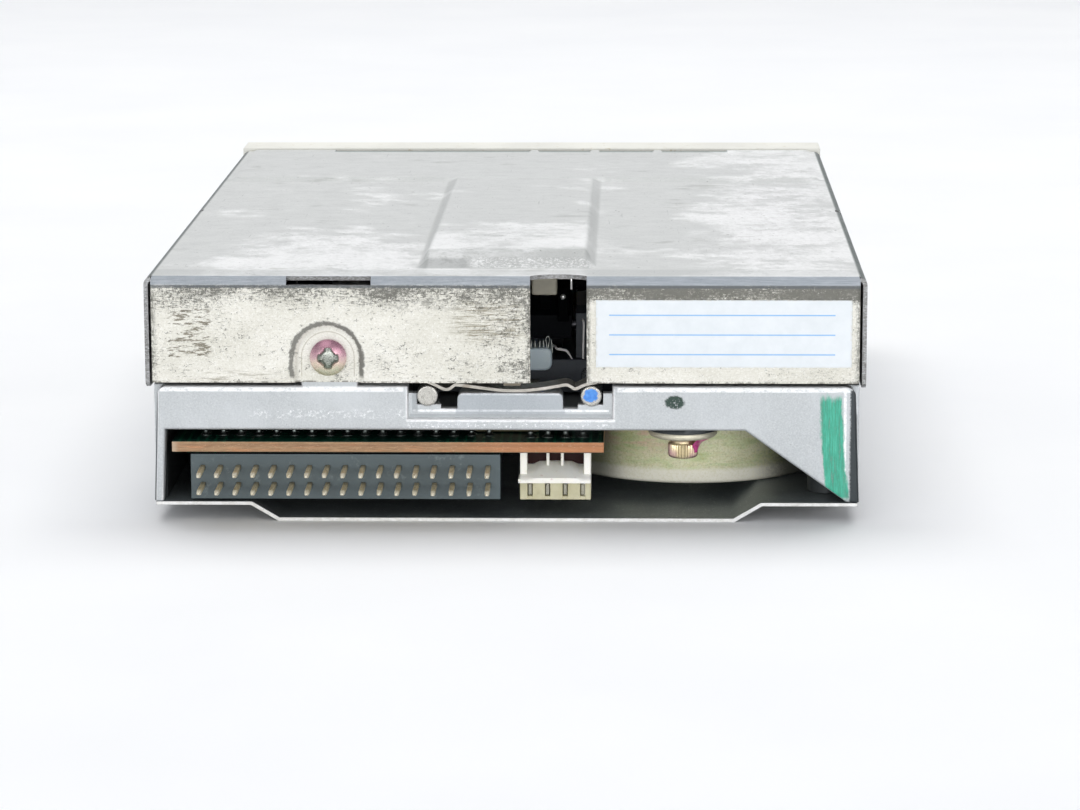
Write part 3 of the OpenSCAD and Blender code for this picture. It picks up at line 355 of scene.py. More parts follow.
def mat_cover_lip():
    m = Mat("plated_lip")
    x, y, z = m.xyz()
    tone = m.noise(m.vec(.10, .1, .16), 4, .6)
    col = m.ramp(tone, [(.3, lin(212, 210, 199)), (.6, lin(227, 225, 216)), (.8, lin(237, 236, 229))])
    brush = m.noise(m.vec(.35, 1, 9, loc=(0, 0, 4)), 3, .7)
    col = m.mix(m.step(brush, .45, .75, 0, .30), col, lin(196, 193, 180))
    grain = m.noise(m.vec(4.2, 1, 4.6, loc=(3, 0, 1)), 4, .8)
    col = m.mix(m.mul(m.step(grain, .52, .66), .42), col, lin(186, 182, 166))
    col = m.mix(m.mul(m.step(grain, .46, .36), .5), col, lin(252, 252, 250))
    # density of scuffs: along the top edge and in loose patches
    patch = m.noise(m.vec(.13, .1, .2, loc=(7, 0, 2)), 4, .65)
    top = m.step(z, 29.5, 34.0)
    side = m.step(x, -2.0, -3.6)
    dens = m.add(m.add(m.mul(top, .11), .056), m.mul(m.sub(patch, .5), .30))
    dens = m.add(dens, m.mul(m.mul(m.step(x, 8, -2), m.step(x, -6, -4)), .05))
    dens = m.add(dens, m.mul(m.mul(m.step(x, -10.5, -12), m.step(z, 31.6, 32.6)), .08))
    hs = m.noise(m.vec(1.1, 1, 11, loc=(1, 0, 3)), 3, .75)
    vs = m.noise(m.vec(9, 1, 1.6, loc=(5, 0, 1)), 3, .75)
    gr = m.noise(m.vec(2.6, 1, 3.2, loc=(8, 0, 8)), 4, .8)
    hh = m.step(m.add(hs, dens), .700, .750)
    vv = m.step(m.add(vs, dens), .735, .79)
    gg = m.step(m.add(gr, dens), .70, .74)
    dark = m.mx(m.mx(hh, m.mul(vv, .85)), gg)
    # larger chips and rubbed streaks
    ch = m.noise(m.vec(.95, 1, 1.15, loc=(12, 0, 5)), 5, .82)
    dark = m.mx(dark, m.mul(m.step(m.add(ch, m.mul(dens, .6)), .645, .68), .88))
    st = m.noise(m.vec(.28, 1, 5.5, rot=(0, .10, 0), loc=(4, 0, 6)), 4, .8)
    sz = m.mul(m.mul(m.step(x, 9, 5), m.step(x, -3.6, -1.5)), m.mul(m.step(z, 25.4, 27.4), m.step(z, 33.6, 31.0)))
    stk = m.mul(m.step(st, .50, .58), m.mul(sz, .80))
    lw = m.mul(m.mul(m.step(x, 46, 42), m.step(x, 30.5, 36)), m.step(z, 22.8, 21.4))
    stk = m.mx(stk, m.mul(m.step(st, .52, .62), m.mul(lw, .6)))
    col = m.mix(stk, col, lin(124, 116, 92))
    # grey smears under the bend
    sm = m.mul(m.step(m.noise(m.vec(.22, 1, .4, loc=(0, 0, 9)), 5, .72), .47, .56), m.mul(m.step(z, 30.2, 32.2), m.step(x, 20, 12)))
    sm = m.mul(sm, m.step(gr, .36, .52))
    dark = m.mx(dark, m.mul(sm, .66))
    # slanted rubs towards one end
    rub = m.noise(m.vec(.55, 1, 2.6, rot=(0, .95, 0), loc=(3, 0, 3)), 4, .72)
    zone = m.mul(m.mul(m.step(x, 40.0, 42.0), m.step(x, 48.8, 47.2)), m.mul(m.step(z, 22.4, 24.2), m.step(z, 32.4, 30.8)))
    rubm = m.mul(m.step(m.add(rub, m.mul(m.sub(zone, 1.0), .3)), .50, .58), zone)
    col = m.mix(m.mul(rubm, .85), col, lin(100, 92, 72))
    col = m.mix(m.mul(m.mul(dark, m.step(z, 20.36, 20.5)), .86), col, lin(80, 80, 73))
    # worn ring round the screw's pad, and the pad's fine outline
    wob = m.mul(m.sub(m.noise(m.vec(.9, 1, .9, loc=(2, 0, 5)), 4, .7), .5), 1.1)
    d = m.add(u_dist(m, 25.2, 23.9), wob)
    ring = m.mul(m.mul(m.step(d, 4.45, 4.75), m.step(d, 5.45, 5.15)), m.step(z, 20.9, 21.5))
    ring = m.mul(ring, m.step(gr, .28, .42))
    d2 = m.math("ABSOLUTE", m.sub(u_dist(m, 25.0, 23.9), 3.72))
    thin = m.mul(m.mul(m.step(d2, .11, .04), m.step(z, 20.9, 21.5)), .45)
    col = m.mix(thin, col, lin(150, 140, 118))
    col = m.mix(m.mul(ring, .88), col, lin(104, 103, 97))
    # edges: darkened along the opening and the ends
    ends = m.mx(m.step(m.math("ABSOLUTE", m.sub(x, -7.5)), 4.75, 4.15), m.step(m.math("ABSOLUTE", x), 48.9, 49.7))
    ends = m.mul(ends, m.step(m.add(gr, vs), .86, 1.06))
    col = m.mix(m.mul(ends, .8), col, lin(92, 91, 84))
    tab = m.step(z, 20.42, 20.36)
    bot = m.mul(m.mul(m.step(z, 20.75, 20.45), m.sub(1.0, tab)), m.step(m.noise(m.vec(1.4, 1, 1), 3, .7), .46, .58))
    col = m.mix(m.mul(bot, .8), col, lin(74, 70, 62))
    # bend: painted bluish reflection, with a painted shade line where it meets the flat
    bend = m.step(z, 34.15, 34.5)
    col = m.mix(m.mul(bend, .92), col, m.ramp(brush, [(.3, lin(150, 158, 167)), (.7, lin(186, 192, 199))]))
    lip_bend_shade_line = m.mul(m.step(m.math("ABSOLUTE", m.sub(z, 34.12)), .30, .10), m.step(m.add(gr, m.mul(hs, .5)), .50, .74, .55, 1))
    col = m.mix(m.mul(lip_bend_shade_line, .9), col, lin(96, 101, 104))
    col = m.mix(tab, col, lin(120, 112, 98))
    allm = m.mx(m.mul(m.mx(dark, ring), m.sub(1.0, tab)), m.mul(bend, .6))
    r = m.mixf(allm, m.lin(brush, .3, .7, .34, .48), .6)
    m.p(color=col, metal=m.mixf(allm, .22, .1), rough=r, normal=m.bump(m.add(m.mul(dark, -1.0), m.mul(brush, .5)), .02, .8))
    return m.m


def mat_cover_side():
    m = Mat("plated_side")
    f = m.noise(m.vec(2, .35, 5), 4, .7)
    mid = m.noise(m.vec(.1, .12, .3), 5, .65)
    col = m.ramp(m.add(m.mul(f, .4), m.mul(mid, .6)), [(.3, lin(138, 140, 140)), (.5, lin(170, 172, 171)), (.68, lin(206, 207, 204))])
    sc = m.step(m.noise(m.vec(1, .16, 7, loc=(4, 4, 1)), 3, .7), .66, .72)
    col = m.mix(m.mul(sc, .5), col, lin(88, 87, 82))
    x, y, z = m.xyz()
    # painted shade: the flange on the -X side is darker
    col = m.mix(m.mul(m.step(x, 5, -5), .72), col, m.ramp(mid, [(.3, lin(74, 77, 76)), (.7, lin(112, 115, 112))]))
    m.p(color=col, metal=.8, rough=m.lin(f, .3, .7, .3, .5), normal=m.bump(f, .015, .8))
    return m.m


def mat_cut():
    m = Mat("cut_edge")
    f = m.noise(m.vec(2.4, 2.4, 6), 4, .7)
    col = m.ramp(f, [(.3, lin(92, 90, 88)), (.5, lin(136, 136, 135)), (.72, lin(190, 193, 196))])
    m.p(color=col, metal=.7, rough=.45, normal=m.bump(f, .02, .8))
    return m.m


def mat_cast():
    m = Mat("cast_aluminium")
    x, y, z = m.xyz()
    nx, ny, nz = m.nrm()
    g1 = m.noise(m.vec(4.5), 4, .7)
    g2 = m.vor(m.vec(2.2))
    g3 = m.noise(m.vec(.12), 4, .6)
    col = m.ramp(g1, [(.3, lin(174, 178, 181)), (.55, lin(190, 194, 196)), (.75, lin(206, 209, 210))])
    col = m.mix(m.step(g3, .4, .7, 0, .5), col, lin(204, 208, 211))
    # flow marks of the casting
    flow = m.noise(m.vec(.5, .2, .06, loc=(0, 3, 0)), 5, .7)
    col = m.mix(m.mul(m.step(flow, .52, .68), .12), col, lin(214, 217, 218))
    # bright rubbed edges
    ed = m.edge(.35, .02, .22)
    rub = m.mul(ed, m.step(m.noise(m.vec(.6), 4, .7), .36, .6))
    col = m.mix(m.mul(rub, .85), col, lin(240, 243, 246))
    # painted highlight along the rounded rims of the rear face
    rim = m.mul(m.mul(m.step(ny, .985, .90), m.step(y, 69.4, 70.0)), m.step(nz, -.25, .10))
    col = m.mix(m.mul(rim, m.step(g1, .30, .48, .70, 1)), col, lin(250, 251, 252))
    def line(v, lo, hi, soft=.14):
        return m.mul(m.step(v, lo - soft, lo + soft), m.step(v, hi + soft, hi - soft))
    brk = m.step(m.noise(m.vec(1.3, 1, 2.2, loc=(2, 7, 1)), 5, .8), .34, .54, .22, 1)
    out = m.mx(m.step(x, 14.2, 14.7), m.step(x, -15.6, -16.1))
    face = m.step(y, 71.2, 71.4)
    # painted highlights along the beam's top edge, the pocket's outline, the legs' edges and the pocket's ledges
    beam_highlight = m.mul(m.mul(line(z, 18.75, 19.5), out), face)
    beam_highlight = m.mx(beam_highlight, m.mul(m.mul(m.mul(line(z, 14.42, 14.80, .12), line(x, -15.5, 14.1)), face), .8))
    beam_highlight = m.mx(beam_highlight, m.mul(m.mul(m.mul(m.mx(line(x, 13.85, 14.2, .12), line(x, -15.5, -15.2, .12)), line(z, 14.9, 19.2)), face), .38))
    # painted glints scattered along the lower half of the beam
    gl = m.step(m.noise(m.vec(2.6, 1, 3.4, loc=(5, 1, 8)), 4, .8), .54, .60)
    beam_highlight = m.mx(beam_highlight, m.mul(m.mul(m.mul(line(z, 14.9, 16.2, .35), line(x, 12, 36, 2)), gl), m.mul(face, .75)))
    beam_highlight = m.mx(beam_highlight, m.mul(m.mul(m.mul(line(z, 13.5, 14.3, .25), line(x, -15, 14, 1)), gl), m.mul(face, .8)))
    infl = m.mul(m.step(y, 71.2, 71.05), m.step(y, 70.0, 70.4))
    beam_highlight = m.mx(beam_highlight, m.mul(m.mul(line(z, 15.75, 16.05, .08), line(x, -14.6, 13.2)), infl))
    beam_highlight = m.mx(beam_highlight, m.mul(m.mul(line(z, 18.15, 18.5, .1), line(x, -8.0, 6.7)), m.step(y, 70.3, 70.5)))
    beam_highlight = m.mx(beam_highlight, m.mul(m.mul(line(x, 47.9, 48.3, .1), line(z, 3.2, 12.8)), m.mul(face, .7)))
    beam_highlight = m.mx(beam_highlight, m.mul(m.mul(line(x, -48.2, -47.8, .1), line(z, 3.2, 19.0)), m.mul(face, .9)))
    col = m.mix(m.mul(m.mul(beam_highlight, brk), .85), col, lin(252, 253, 254))
    # painted shade lines down the pocket's side wall and along its lower ledge
    pocket_shade_lines = m.mul(m.mul(line(x, 12.5, 13.3, .1), line(z, 15.6, 18.9)), infl)
    pocket_shade_lines = m.mx(pocket_shade_lines, m.mul(m.mul(line(z, 15.05, 15.45, .1), line(x, -14.9, 13.6)), infl))
    col = m.mix(m.mul(pocket_shade_lines, .45), col, lin(128, 134, 138))
    # painted shade on the rounded outer edges of the legs
    leg_side_edge_shade = m.mul(m.mul(m.step(ny, .96, .80), m.step(y, 69.8, 70.2)), m.step(m.math("ABSOLUTE", x), 49.2, 49.5))
    col = m.mix(m.mul(leg_side_edge_shade, .9), col, lin(40, 52, 56))
    # painted shade: a dark strip along the outer edge of the leg on the connector's far side
    far_leg_edge_shade = m.mul(m.step(m.add(x, m.mul(m.sub(g1, .5), .5)), -48.55, -48.9), m.mul(m.step(y, 69.8, 70.2), m.step(z, 19.3, 18.9)))
    col = m.mix(m.mul(far_leg_edge_shade, .94), col, lin(28, 38, 42))
    # painted shade on the casting's surfaces behind the rear face, below the beam
    inner_shade = m.mul(m.step(m.math("ABSOLUTE", x), 49.95, 49.6), m.step(y, 70.3, 69.4))
    inner_shade = m.mul(inner_shade, m.step(z, 15.4, 15.0))
    col = m.mix(m.mul(inner_shade, .92), col, lin(34, 40, 42))
    blk = m.mul(m.mul(line(x, -8.4, 7.1), m.step(z, 15.3, 15.6)), m.mul(m.step(y, 71.0, 70.8), m.step(nz, .7, .4)))
    col = m.mix(m.mul(blk, .42), col, lin(134, 144, 154))
    # dark pits
    pit = m.step(m.noise(m.vec(1.7, loc=(4, 4, 4)), 3, .6), .72, .76)
    col = m.mix(m.mul(pit, .5), col, lin(118, 120, 124))
    rear = m.mul(m.step(ny, .6, .8), m.step(y, 70.0, 70.6))
    # a brushed stroke of green marking paint down one leg
    t = m.lin(z, 18.3, 3.2)
    cx = m.sub(-46.0, m.mul(m.mul(t, t), 1.25))
    wob = m.mul(m.sub(m.noise(m.vec(1.5, 1, .5, loc=(1, 1, 1)), 4, .75), .5), 1.0)
    dx = m.math("ABSOLUTE", m.add(m.sub(x, cx), wob))
    st = m.mul(m.step(dx, 1.72, 1.38), m.mul(m.step(z, 3.0, 3.8), m.step(m.add(z, m.mul(wob, 2.2)), 18.6, 17.4)))
    dry = m.noise(m.vec(4.2, 1, .35, loc=(0, 0, 7)), 4, .7)
    st = m.mul(st, m.mul(m.step(dry, .22, .44, .45, 1), rear))
    gcol = m.ramp(dry, [(.3, lin(0, 118, 92)), (.5, lin(22, 168, 136)), (.7, lin(64, 196, 166))])
    col = m.mix(m.mul(st, .93), col, gcol)
    # a small smear of dark green ink on the beam
    ax = m.math("DIVIDE", m.sub(x, -23.9), 1.5)
    az = m.math("DIVIDE", m.sub(z, 17.3), 1.05)
    rr = m.math("SQRT", m.add(m.mul(ax, ax), m.mul(az, az)))
    ink = m.noise(m.vec(1.7, 1, 1.7, loc=(3, 0, 6)), 4, .8)
    im = m.mul(m.mul(m.step(m.add(rr, m.mul(m.sub(ink, .5), .9)), 1.05, .8), m.step(ink, .34, .46)), rear)
    col = m.mix(m.mul(im, .97), col, lin(6, 52, 38))
    paint = m.mx(st, im)
    h = m.add(m.mul(g1, .6), m.mul(g2, .4))
    m.p(color=col, metal=m.mixf(paint, .45, 0.0), rough=m.mixf(paint, m.lin(g1, .3, .7, .34, .5), .38), normal=m.bump(h, .03, .8, m.bevel(.3)))
    return m.m


def mat_shield():
    m = Mat("shield_steel")
    x, y, z = m.xyz()
    nx, ny, nz = m.nrm()
    f = m.noise(m.vec(.5, 3, 1), 4, .7)
    g = m.noise(m.vec(.08), 4, .6)
    dark = m.ramp(g, [(.3, lin(112, 120, 124)), (.7, lin(146, 154, 157))])
    dark = m.mix(m.mul(m.step(f, .56, .72), .5), dark, lin(178, 180, 178))
    dust = m.step(m.noise(m.vec(3.2, 3.2, 3.2, loc=(1, 5, 2)), 4, .8), .60, .66)
    dark = m.mix(m.mul(dust, .75), dark, lin(226, 230, 228))
    under = m.ramp(f, [(.3, lin(128, 130, 131)), (.6, lin(160, 162, 162)), (.8, lin(190, 191, 190))])
    col = m.mix(m.step(nz, -.2, -.5), dark, under)
    cut = m.step(m.math("ABSOLUTE", ny), .6, .9)
    col = m.mix(cut, col, m.ramp(m.noise(m.vec(1.2, 1, 2), 4, .7), [(.3, lin(222, 221, 216)), (.6, lin(250, 250, 249))]))
    m.p(color=col, metal=m.mixf(cut, .55, .1), rough=m.mixf(cut, .42, .35), normal=m.bump(f, .012, .8, m.bevel(.15)))
    return m.m


def mat_board(name="circuit_board", edge=(lin(138, 104, 72), lin(184, 148, 112)), mask=(lin(14, 52, 42), lin(24, 84, 62))):
    m = Mat(name)
    x, y, z = m.xyz()
    nx, ny, nz = m.nrm()
    f = m.noise(m.vec(.6, .6, 9), 4, .7)
    ecol = m.ramp(f, [(.3, edge[0]), (.65, edge[1])])
    ecol = m.mix(m.mul(m.step(m.noise(m.vec(.25, .25, 2), 3), .5, .7), .5), ecol, lin(204, 140, 96))
    ecol = m.mix(m.mul(m.step(x, 14, -6), .55), ecol, lin(196, 120, 68))
    lay = m.step(m.math("ABSOLUTE", m.sub(z, 10.95)), .28, .12)
    ecol = m.mix(m.mul(lay, .28), ecol, lin(122, 84, 58))
    ecol = m.mix(m.mul(m.step(m.noise(m.vec(2.2, 2.2, 7, loc=(1, 1, 1)), 3, .8), .58, .68), .45), ecol, lin(228, 196, 164))
    ecol = m.mix(m.mul(m.step(z, 10.12, 9.95), .7), ecol, lin(104, 70, 50))
    ecol = m.mix(m.mul(m.step(x, 46.4, 47.4), .45), ecol, lin(214, 200, 176))
    # traces: stepped bands of two directions
    cell = m.vor(m.vec(.05, .05, 0, loc=(3, 7, 0)), out="Color", feature="F1")
    sp = m.n("ShaderNodeSeparateColor")
    m.l(cell, sp.inputs[0])
    a = m.math("FRACT", m.mul(x, 1 / 1.27))
    b = m.math("FRACT", m.mul(y, 1 / 1.27))
    ta = m.mul(m.step(a, .34, .40), m.step(a, .72, .66))
    tb = m.mul(m.step(b, .34, .40), m.step(b, .72, .66))
    tr = m.mixf(m.step(sp.outputs[0], .48, .5), ta, tb)
    tr = m.mul(tr, m.step(sp.outputs[1], .30, .32))
    fx = m.sub(a, .5)
    fy = m.sub(b, .5)
    dot = m.step(m.math("SQRT", m.add(m.mul(fx, fx), m.mul(fy, fy))), .24, .20)
    dot = m.mul(dot, m.step(m.vor(m.vec(.39, .39, 0, loc=(9, 1, 0)), out="Distance"), .30, .24))
    col = m.mix(tr, mask[0], mask[1])
    col = m.mix(dot, col, lin(186, 184, 170))
    face = m.step(m.math("ABSOLUTE", nz), .4, .6)
    col = m.mix(face, ecol, col)
    h = m.mx(tr, dot)
    m.p(color=col, rough=m.mixf(face, .55, .28), metal=m.mul(m.mul(dot, face), .8), normal=m.bump(m.mul(h, face), .03, .8))
    return m.m


def mat_rods():
    m = Mat("ground_rods")
    x, y, z = m.xyz()
    nx, ny, nz = m.nrm()
    f = m.noise(m.vec(6, .8, 6), 4, .7)
    col = m.ramp(f, [(.3, lin(178, 178, 174)), (.7, lin(214, 214, 210))])
    endm = m.step(ny, .7, .9)
    dx, dz = m.sub(x, -12.05), m.sub(z, 18.15)
    wob = m.mul(m.sub(m.noise(m.vec(1.3, 1, 1.3, loc=(2, 0, 0)), 3, .7), .5), 1.0)
    d = m.add(m.math("SQRT", m.add(m.mul(dx, dx), m.mul(dz, dz))), wob)
    blue = m.mul(m.mul(m.step(d, 1.12, .92), endm), m.step(x, -5, -7))
    grey = m.mix(m.step(m.noise(m.vec(3), 3), .5, .7), lin(188, 186, 180), lin(160, 158, 152))
    col = m.mix(endm, col, grey)
    col = m.mix(blue, col, m.ramp(m.noise(m.vec(1.5), 3), [(.35, lin(58, 132, 226)), (.7, lin(96, 168, 245))]))
    m.p(color=col, metal=m.mixf(blue, .9, 0.0), rough=m.mixf(blue, m.lin(f, .3, .7, .2, .34), .3), normal=m.bump(f, .01, .8, m.bevel(.15)))
    return m.m


def mat_can():
    m = Mat("passivated_can")
    x, y, z = m.xyz()
    c = (-26.5, 38.9)
    dx, dy = m.sub(x, c[0]), m.sub(y, c[1])
    ang = m.math("ARCTAN2", dx, dy)
    cmb = m.n("ShaderNodeCombineXYZ")
    m.l(m.mul(ang, 3.4), cmb.inputs[0])
    m.l(m.mul(z, .8), cmb.inputs[1])
    cloud = m.noise(cmb.outputs[0], 6, .62, .5)
    f = m.noise(m.vec(3, 3, 4), 4, .75)
    g = m.noise(m.vec(7), 3, .7)
    col = m.ramp(cloud, [(.28, lin(190, 204, 146)), (.42, lin(220, 228, 182)), (.55, lin(236, 234, 202)), (.66, lin(226, 234, 190)), (.78, lin(242, 240, 214))])
    # painted peach reflection high up on one side, speckled grain all over
    can_peach_reflection = m.mul(m.step(ang, -.05, .35), m.mul(m.step(z, 6.0, 9.5), m.step(cloud, .36, .60)))
    col = m.mix(m.mul(can_peach_reflection, .65), col, lin(222, 176, 158))
    col = m.mix(m.mul(m.step(f, .50, .64), .42), col, lin(158, 166, 118))
    col = m.mix(m.mul(m.step(g, .56, .68), .40), col, lin(244, 240, 222))
    # painted highlight: a pale band low on the wall
    low = m.mul(m.step(z, 5.6, 4.3), m.step(z, 2.9, 3.2))
    col = m.mix(m.mul(low, m.mixf(f, .5, 1.0)), col, lin(248, 244, 228))
    scr = m.mul(m.step(m.noise(m.vec(5, 5, .5, loc=(2, 2, 2)), 3, .7), .64, .70), .30)
    col = m.mix(scr, col, lin(168, 166, 140))
    mot = m.step(m.noise(m.vec(2.6, loc=(7, 1, 2)), 5, .8), .44, .60)
    col = m.mix(m.mul(mot, .34), col, lin(196, 190, 112))
    # a second, brighter painted highlight band at nearly the same height, without metal
    low_band_highlight = m.mul(m.step(z, 5.4, 4.6), m.step(z, 2.6, 2.9))
    col = m.mix(m.mul(low_band_highlight, m.mixf(mot, .95, .6)), col, lin(255, 252, 236))
    # painted shade on both flanks of the can, strongest on the -X side
    can_flank_shade = m.mx(m.step(m.add(dx, m.mul(m.sub(mot, .5), .8)), -8.2, -14.5), m.mul(m.step(dx, 9.0, 13.5), .8))
    col = m.mix(m.mul(can_flank_shade, .90), col, lin(36, 43, 36))
    m.p(color=col, metal=m.mixf(low_band_highlight, .16, 0.0), rough=m.lin(f, .3, .7, .32, .46), normal=m.bump(f, .02, .8))
    return m.m


def mat_zinc_screw(name="iridescent_zinc", hard=True):
    m = Mat(name)
    a = m.noise(m.vec(.55, loc=(6, 0, 1)), 3, .6, .6)
    f = m.noise(m.vec(6), 3, .7)
    col = m.ramp(a, [(.30, lin(214, 190, 140)), (.44, lin(222, 176, 168)), (.52, lin(206, 160, 186)), (.60, lin(186, 190, 178)), (.72, lin(224, 206, 158))])
    m.p(color=col, metal=.95, rough=m.lin(f, .3, .7, .2, .34), normal=m.bump(f, .012, .8, m.bevel(.12)))
    return m.m


def mat_cover_screw():
    m = Mat("iridescent_screw")
    x, y, z = m.xyz()
    dz, dx = m.sub(z, 24.0), m.sub(x, 24.9)
    a = m.noise(m.vec(.6, .2, .6, loc=(6, 0, 1)), 4, .65, .5)
    f = m.noise(m.vec(5), 3, .7)
    t = m.add(m.lin(dz, -2.4, 2.4, 0.0, 1.0), m.mul(m.sub(a, .5), .7))
    col = m.ramp(t, [(.08, lin(210, 210, 184)), (.30, lin(222, 202, 184)), (.46, lin(216, 188, 184)), (.62, lin(204, 166, 174)), (.84, lin(190, 142, 158))])
    d = m.math("SQRT", m.add(m.mul(dx, dx), m.mul(dz, dz)))
    # painted shade in the cross recess
    cross_recess_shade = m.mul(m.step(y, LY + .52, LY + .30), m.step(d, 1.75, 1.5))
    col = m.mix(m.mul(cross_recess_shade, .92), col, m.ramp(f, [(.35, lin(96, 106, 98)), (.65, lin(176, 184, 176))]))
    m.p(color=col, metal=.8, rough=m.lin(f, .3, .7, .22, .36), normal=m.bump(f, .012, .8))
    return m.m


def mat_label():
    m = Mat("label_paper")
    x, y, z = m.xyz()
    nx, ny, nz = m.nrm()
    t = m.noise(m.vec(.4), 5, .6)
    col = m.ramp(t, [(.3, lin(222, 228, 232)), (.7, lin(231, 236, 240))])
    ln = None
    for zz in (30.15, 27.35, 24.55):
        k = m.step(m.math("ABSOLUTE", m.sub(z, zz)), .12, .05)
        ln = k if ln is None else m.mx(ln, k)
    ln = m.mul(ln, m.mul(m.step(x, -14.6, -14.7), m.step(x, -46.4, -46.3)))
    ln = m.mul(ln, m.step(m.noise(m.vec(1.2, 1, 6), 3, .7), .24, .40, .55, 1))
    col = m.mix(m.mul(ln, .85), col, lin(104, 174, 236))
    edge = m.mx(m.step(x, -13.2, -12.85), m.mx(m.step(x, -48.3, -48.65), m.mx(m.step(z, 32.05, 32.28), m.step(z, 22.95, 22.72))))
    col = m.mix(m.mul(m.mul(edge, m.step(m.noise(m.vec(1.6), 4, .7), .42, .62)), .5), col, lin(206, 203, 194))
    m.p(color=col, rough=.36, coat=.15, normal=m.bump(m.noise(m.vec(.6), 3, .5), .02, .5))
    m.b.inputs["Coat Roughness"].default_value = .25
    return m.m


def mat_pins():
    m = Mat("gold_contacts")
    x, y, z = m.xyz()
    nx, ny, nz = m.nrm()
    f = m.noise(m.vec(2.4), 4, .7)
    col = m.ramp(f, [(.3, lin(190, 170, 128)), (.5, lin(232, 214, 172)), (.72, lin(252, 242, 214))])
    # painted highlight on the pin tips; the roots are darker towards the header
    pin_tip_highlight = m.mul(m.step(y, 75.9, 76.7), m.step(m.noise(m.vec(1.1), 2), .26, .44))
    col = m.mix(m.mul(pin_tip_highlight, .85), col, lin(252, 246, 226))
    col = m.mix(m.mul(m.step(y, 73.4, 71.8), .5), col, lin(96, 82, 54))
    m.p(color=col, metal=m.mixf(pin_tip_highlight, .55, .3), rough=m.lin(f, .3, .7, .30, .46), normal=m.bump(f, .02, .8, m.bevel(.1)))
    return m.m


def mat_nylon():
    m = Mat("white_nylon")
    f = m.noise(m.vec(.9), 5, .65)
    g = m.noise(m.vec(.14, loc=(1, 1, 1)), 3)
    col = m.ramp(g, [(.35, lin(252, 248, 236)), (.65, lin(255, 254, 248))])
    red = m.mul(m.step(m.noise(m.vec(1.5, loc=(4, 2, 2)), 4, .7), .62, .72), .35)
    col = m.mix(red, col, lin(176, 96, 80))
    dirt = m.mul(m.step(m.noise(m.vec(2.2, loc=(8, 8, 8)), 4, .8), .70, .75), .5)
    col = m.mix(dirt, col, lin(120, 112, 96))
    m.p(color=col, rough=.42, sss=.15, normal=m.bump(f, .02, .6, m.bevel(.15)))
    m.b.inputs["Subsurface Radius"].default_value = (.001, .0009, .0007)
    return m.m


def mat_coil():
    m = Mat("coil_enamel")
    w = m.n("ShaderNodeTexWave", wave_type="BANDS", bands_direction="Z")
    m.l(m.vec(1, 1, 1), w.inputs["Vector"])
    w.inputs["Scale"].default_value = .9
    w.inputs["Distortion"].default_value = .4
    col = m.ramp(w.outputs["Fac"], [(.2, lin(92, 40, 16)), (.8, lin(190, 98, 44))])
    m.p(color=col, metal=.6, rough=.32, normal=m.bump(w.outputs["Fac"], .06, 1))
    return m.m


def mat_lock_paint():
    m = Mat("locking_paint")
    a = m.noise(m.vec(1.6), 4, .7)
    col = m.ramp(a, [(.3, lin(176, 44, 116)), (.55, lin(208, 84, 150)), (.75, lin(232, 142, 184))])
    m.p(color=col, rough=.28, coat=.4, normal=m.bump(a, .05, .8))
    m.b.inputs["Coat Roughness"].default_value = .15
    return m.m


def mat_aged_nylon():
    m = Mat("aged_nylon")
    f = m.noise(m.vec(.9), 5, .65)
    g = m.noise(m.vec(.3, loc=(1, 5, 1)), 4, .6)
    col = m.ramp(g, [(.35, lin(188, 182, 146)), (.65, lin(214, 209, 178))])
    dirt = m.mul(m.step(m.noise(m.vec(1.6, loc=(8, 8, 8)), 4, .8), .60, .70), .5)
    col = m.mix(dirt, col, lin(130, 120, 92))
    m.p(color=col, rough=.45, sss=.12, normal=m.bump(f, .02, .6))
    m.b.inputs["Subsurface Radius"].default_value = (.001, .0009, .0007)
    return m.m


def mat_spring_strip():
    m = Mat("spring_strip")
    x, y, z = m.xyz()
    a = m.noise(m.vec(.5, .5, 2), 5, .65)
    f = m.noise(m.vec(5, 1.2, 5), 3, .7)
    col = m.ramp(a, [(.3, lin(150, 147, 139)), (.55, lin(180, 176, 168)), (.75, lin(206, 204, 197))])
    stain = m.mul(m.step(m.noise(m.vec(.9, .9, .9, loc=(3, 3, 3)), 3, .6), .60, .70), .5)
    col = m.mix(stain, col, lin(132, 120, 104))
    m.p(color=col, metal=.75, rough=m.lin(f, .3, .7, .32, .48), normal=m.bump(f, .01, .8))
    return m.m


M = {}


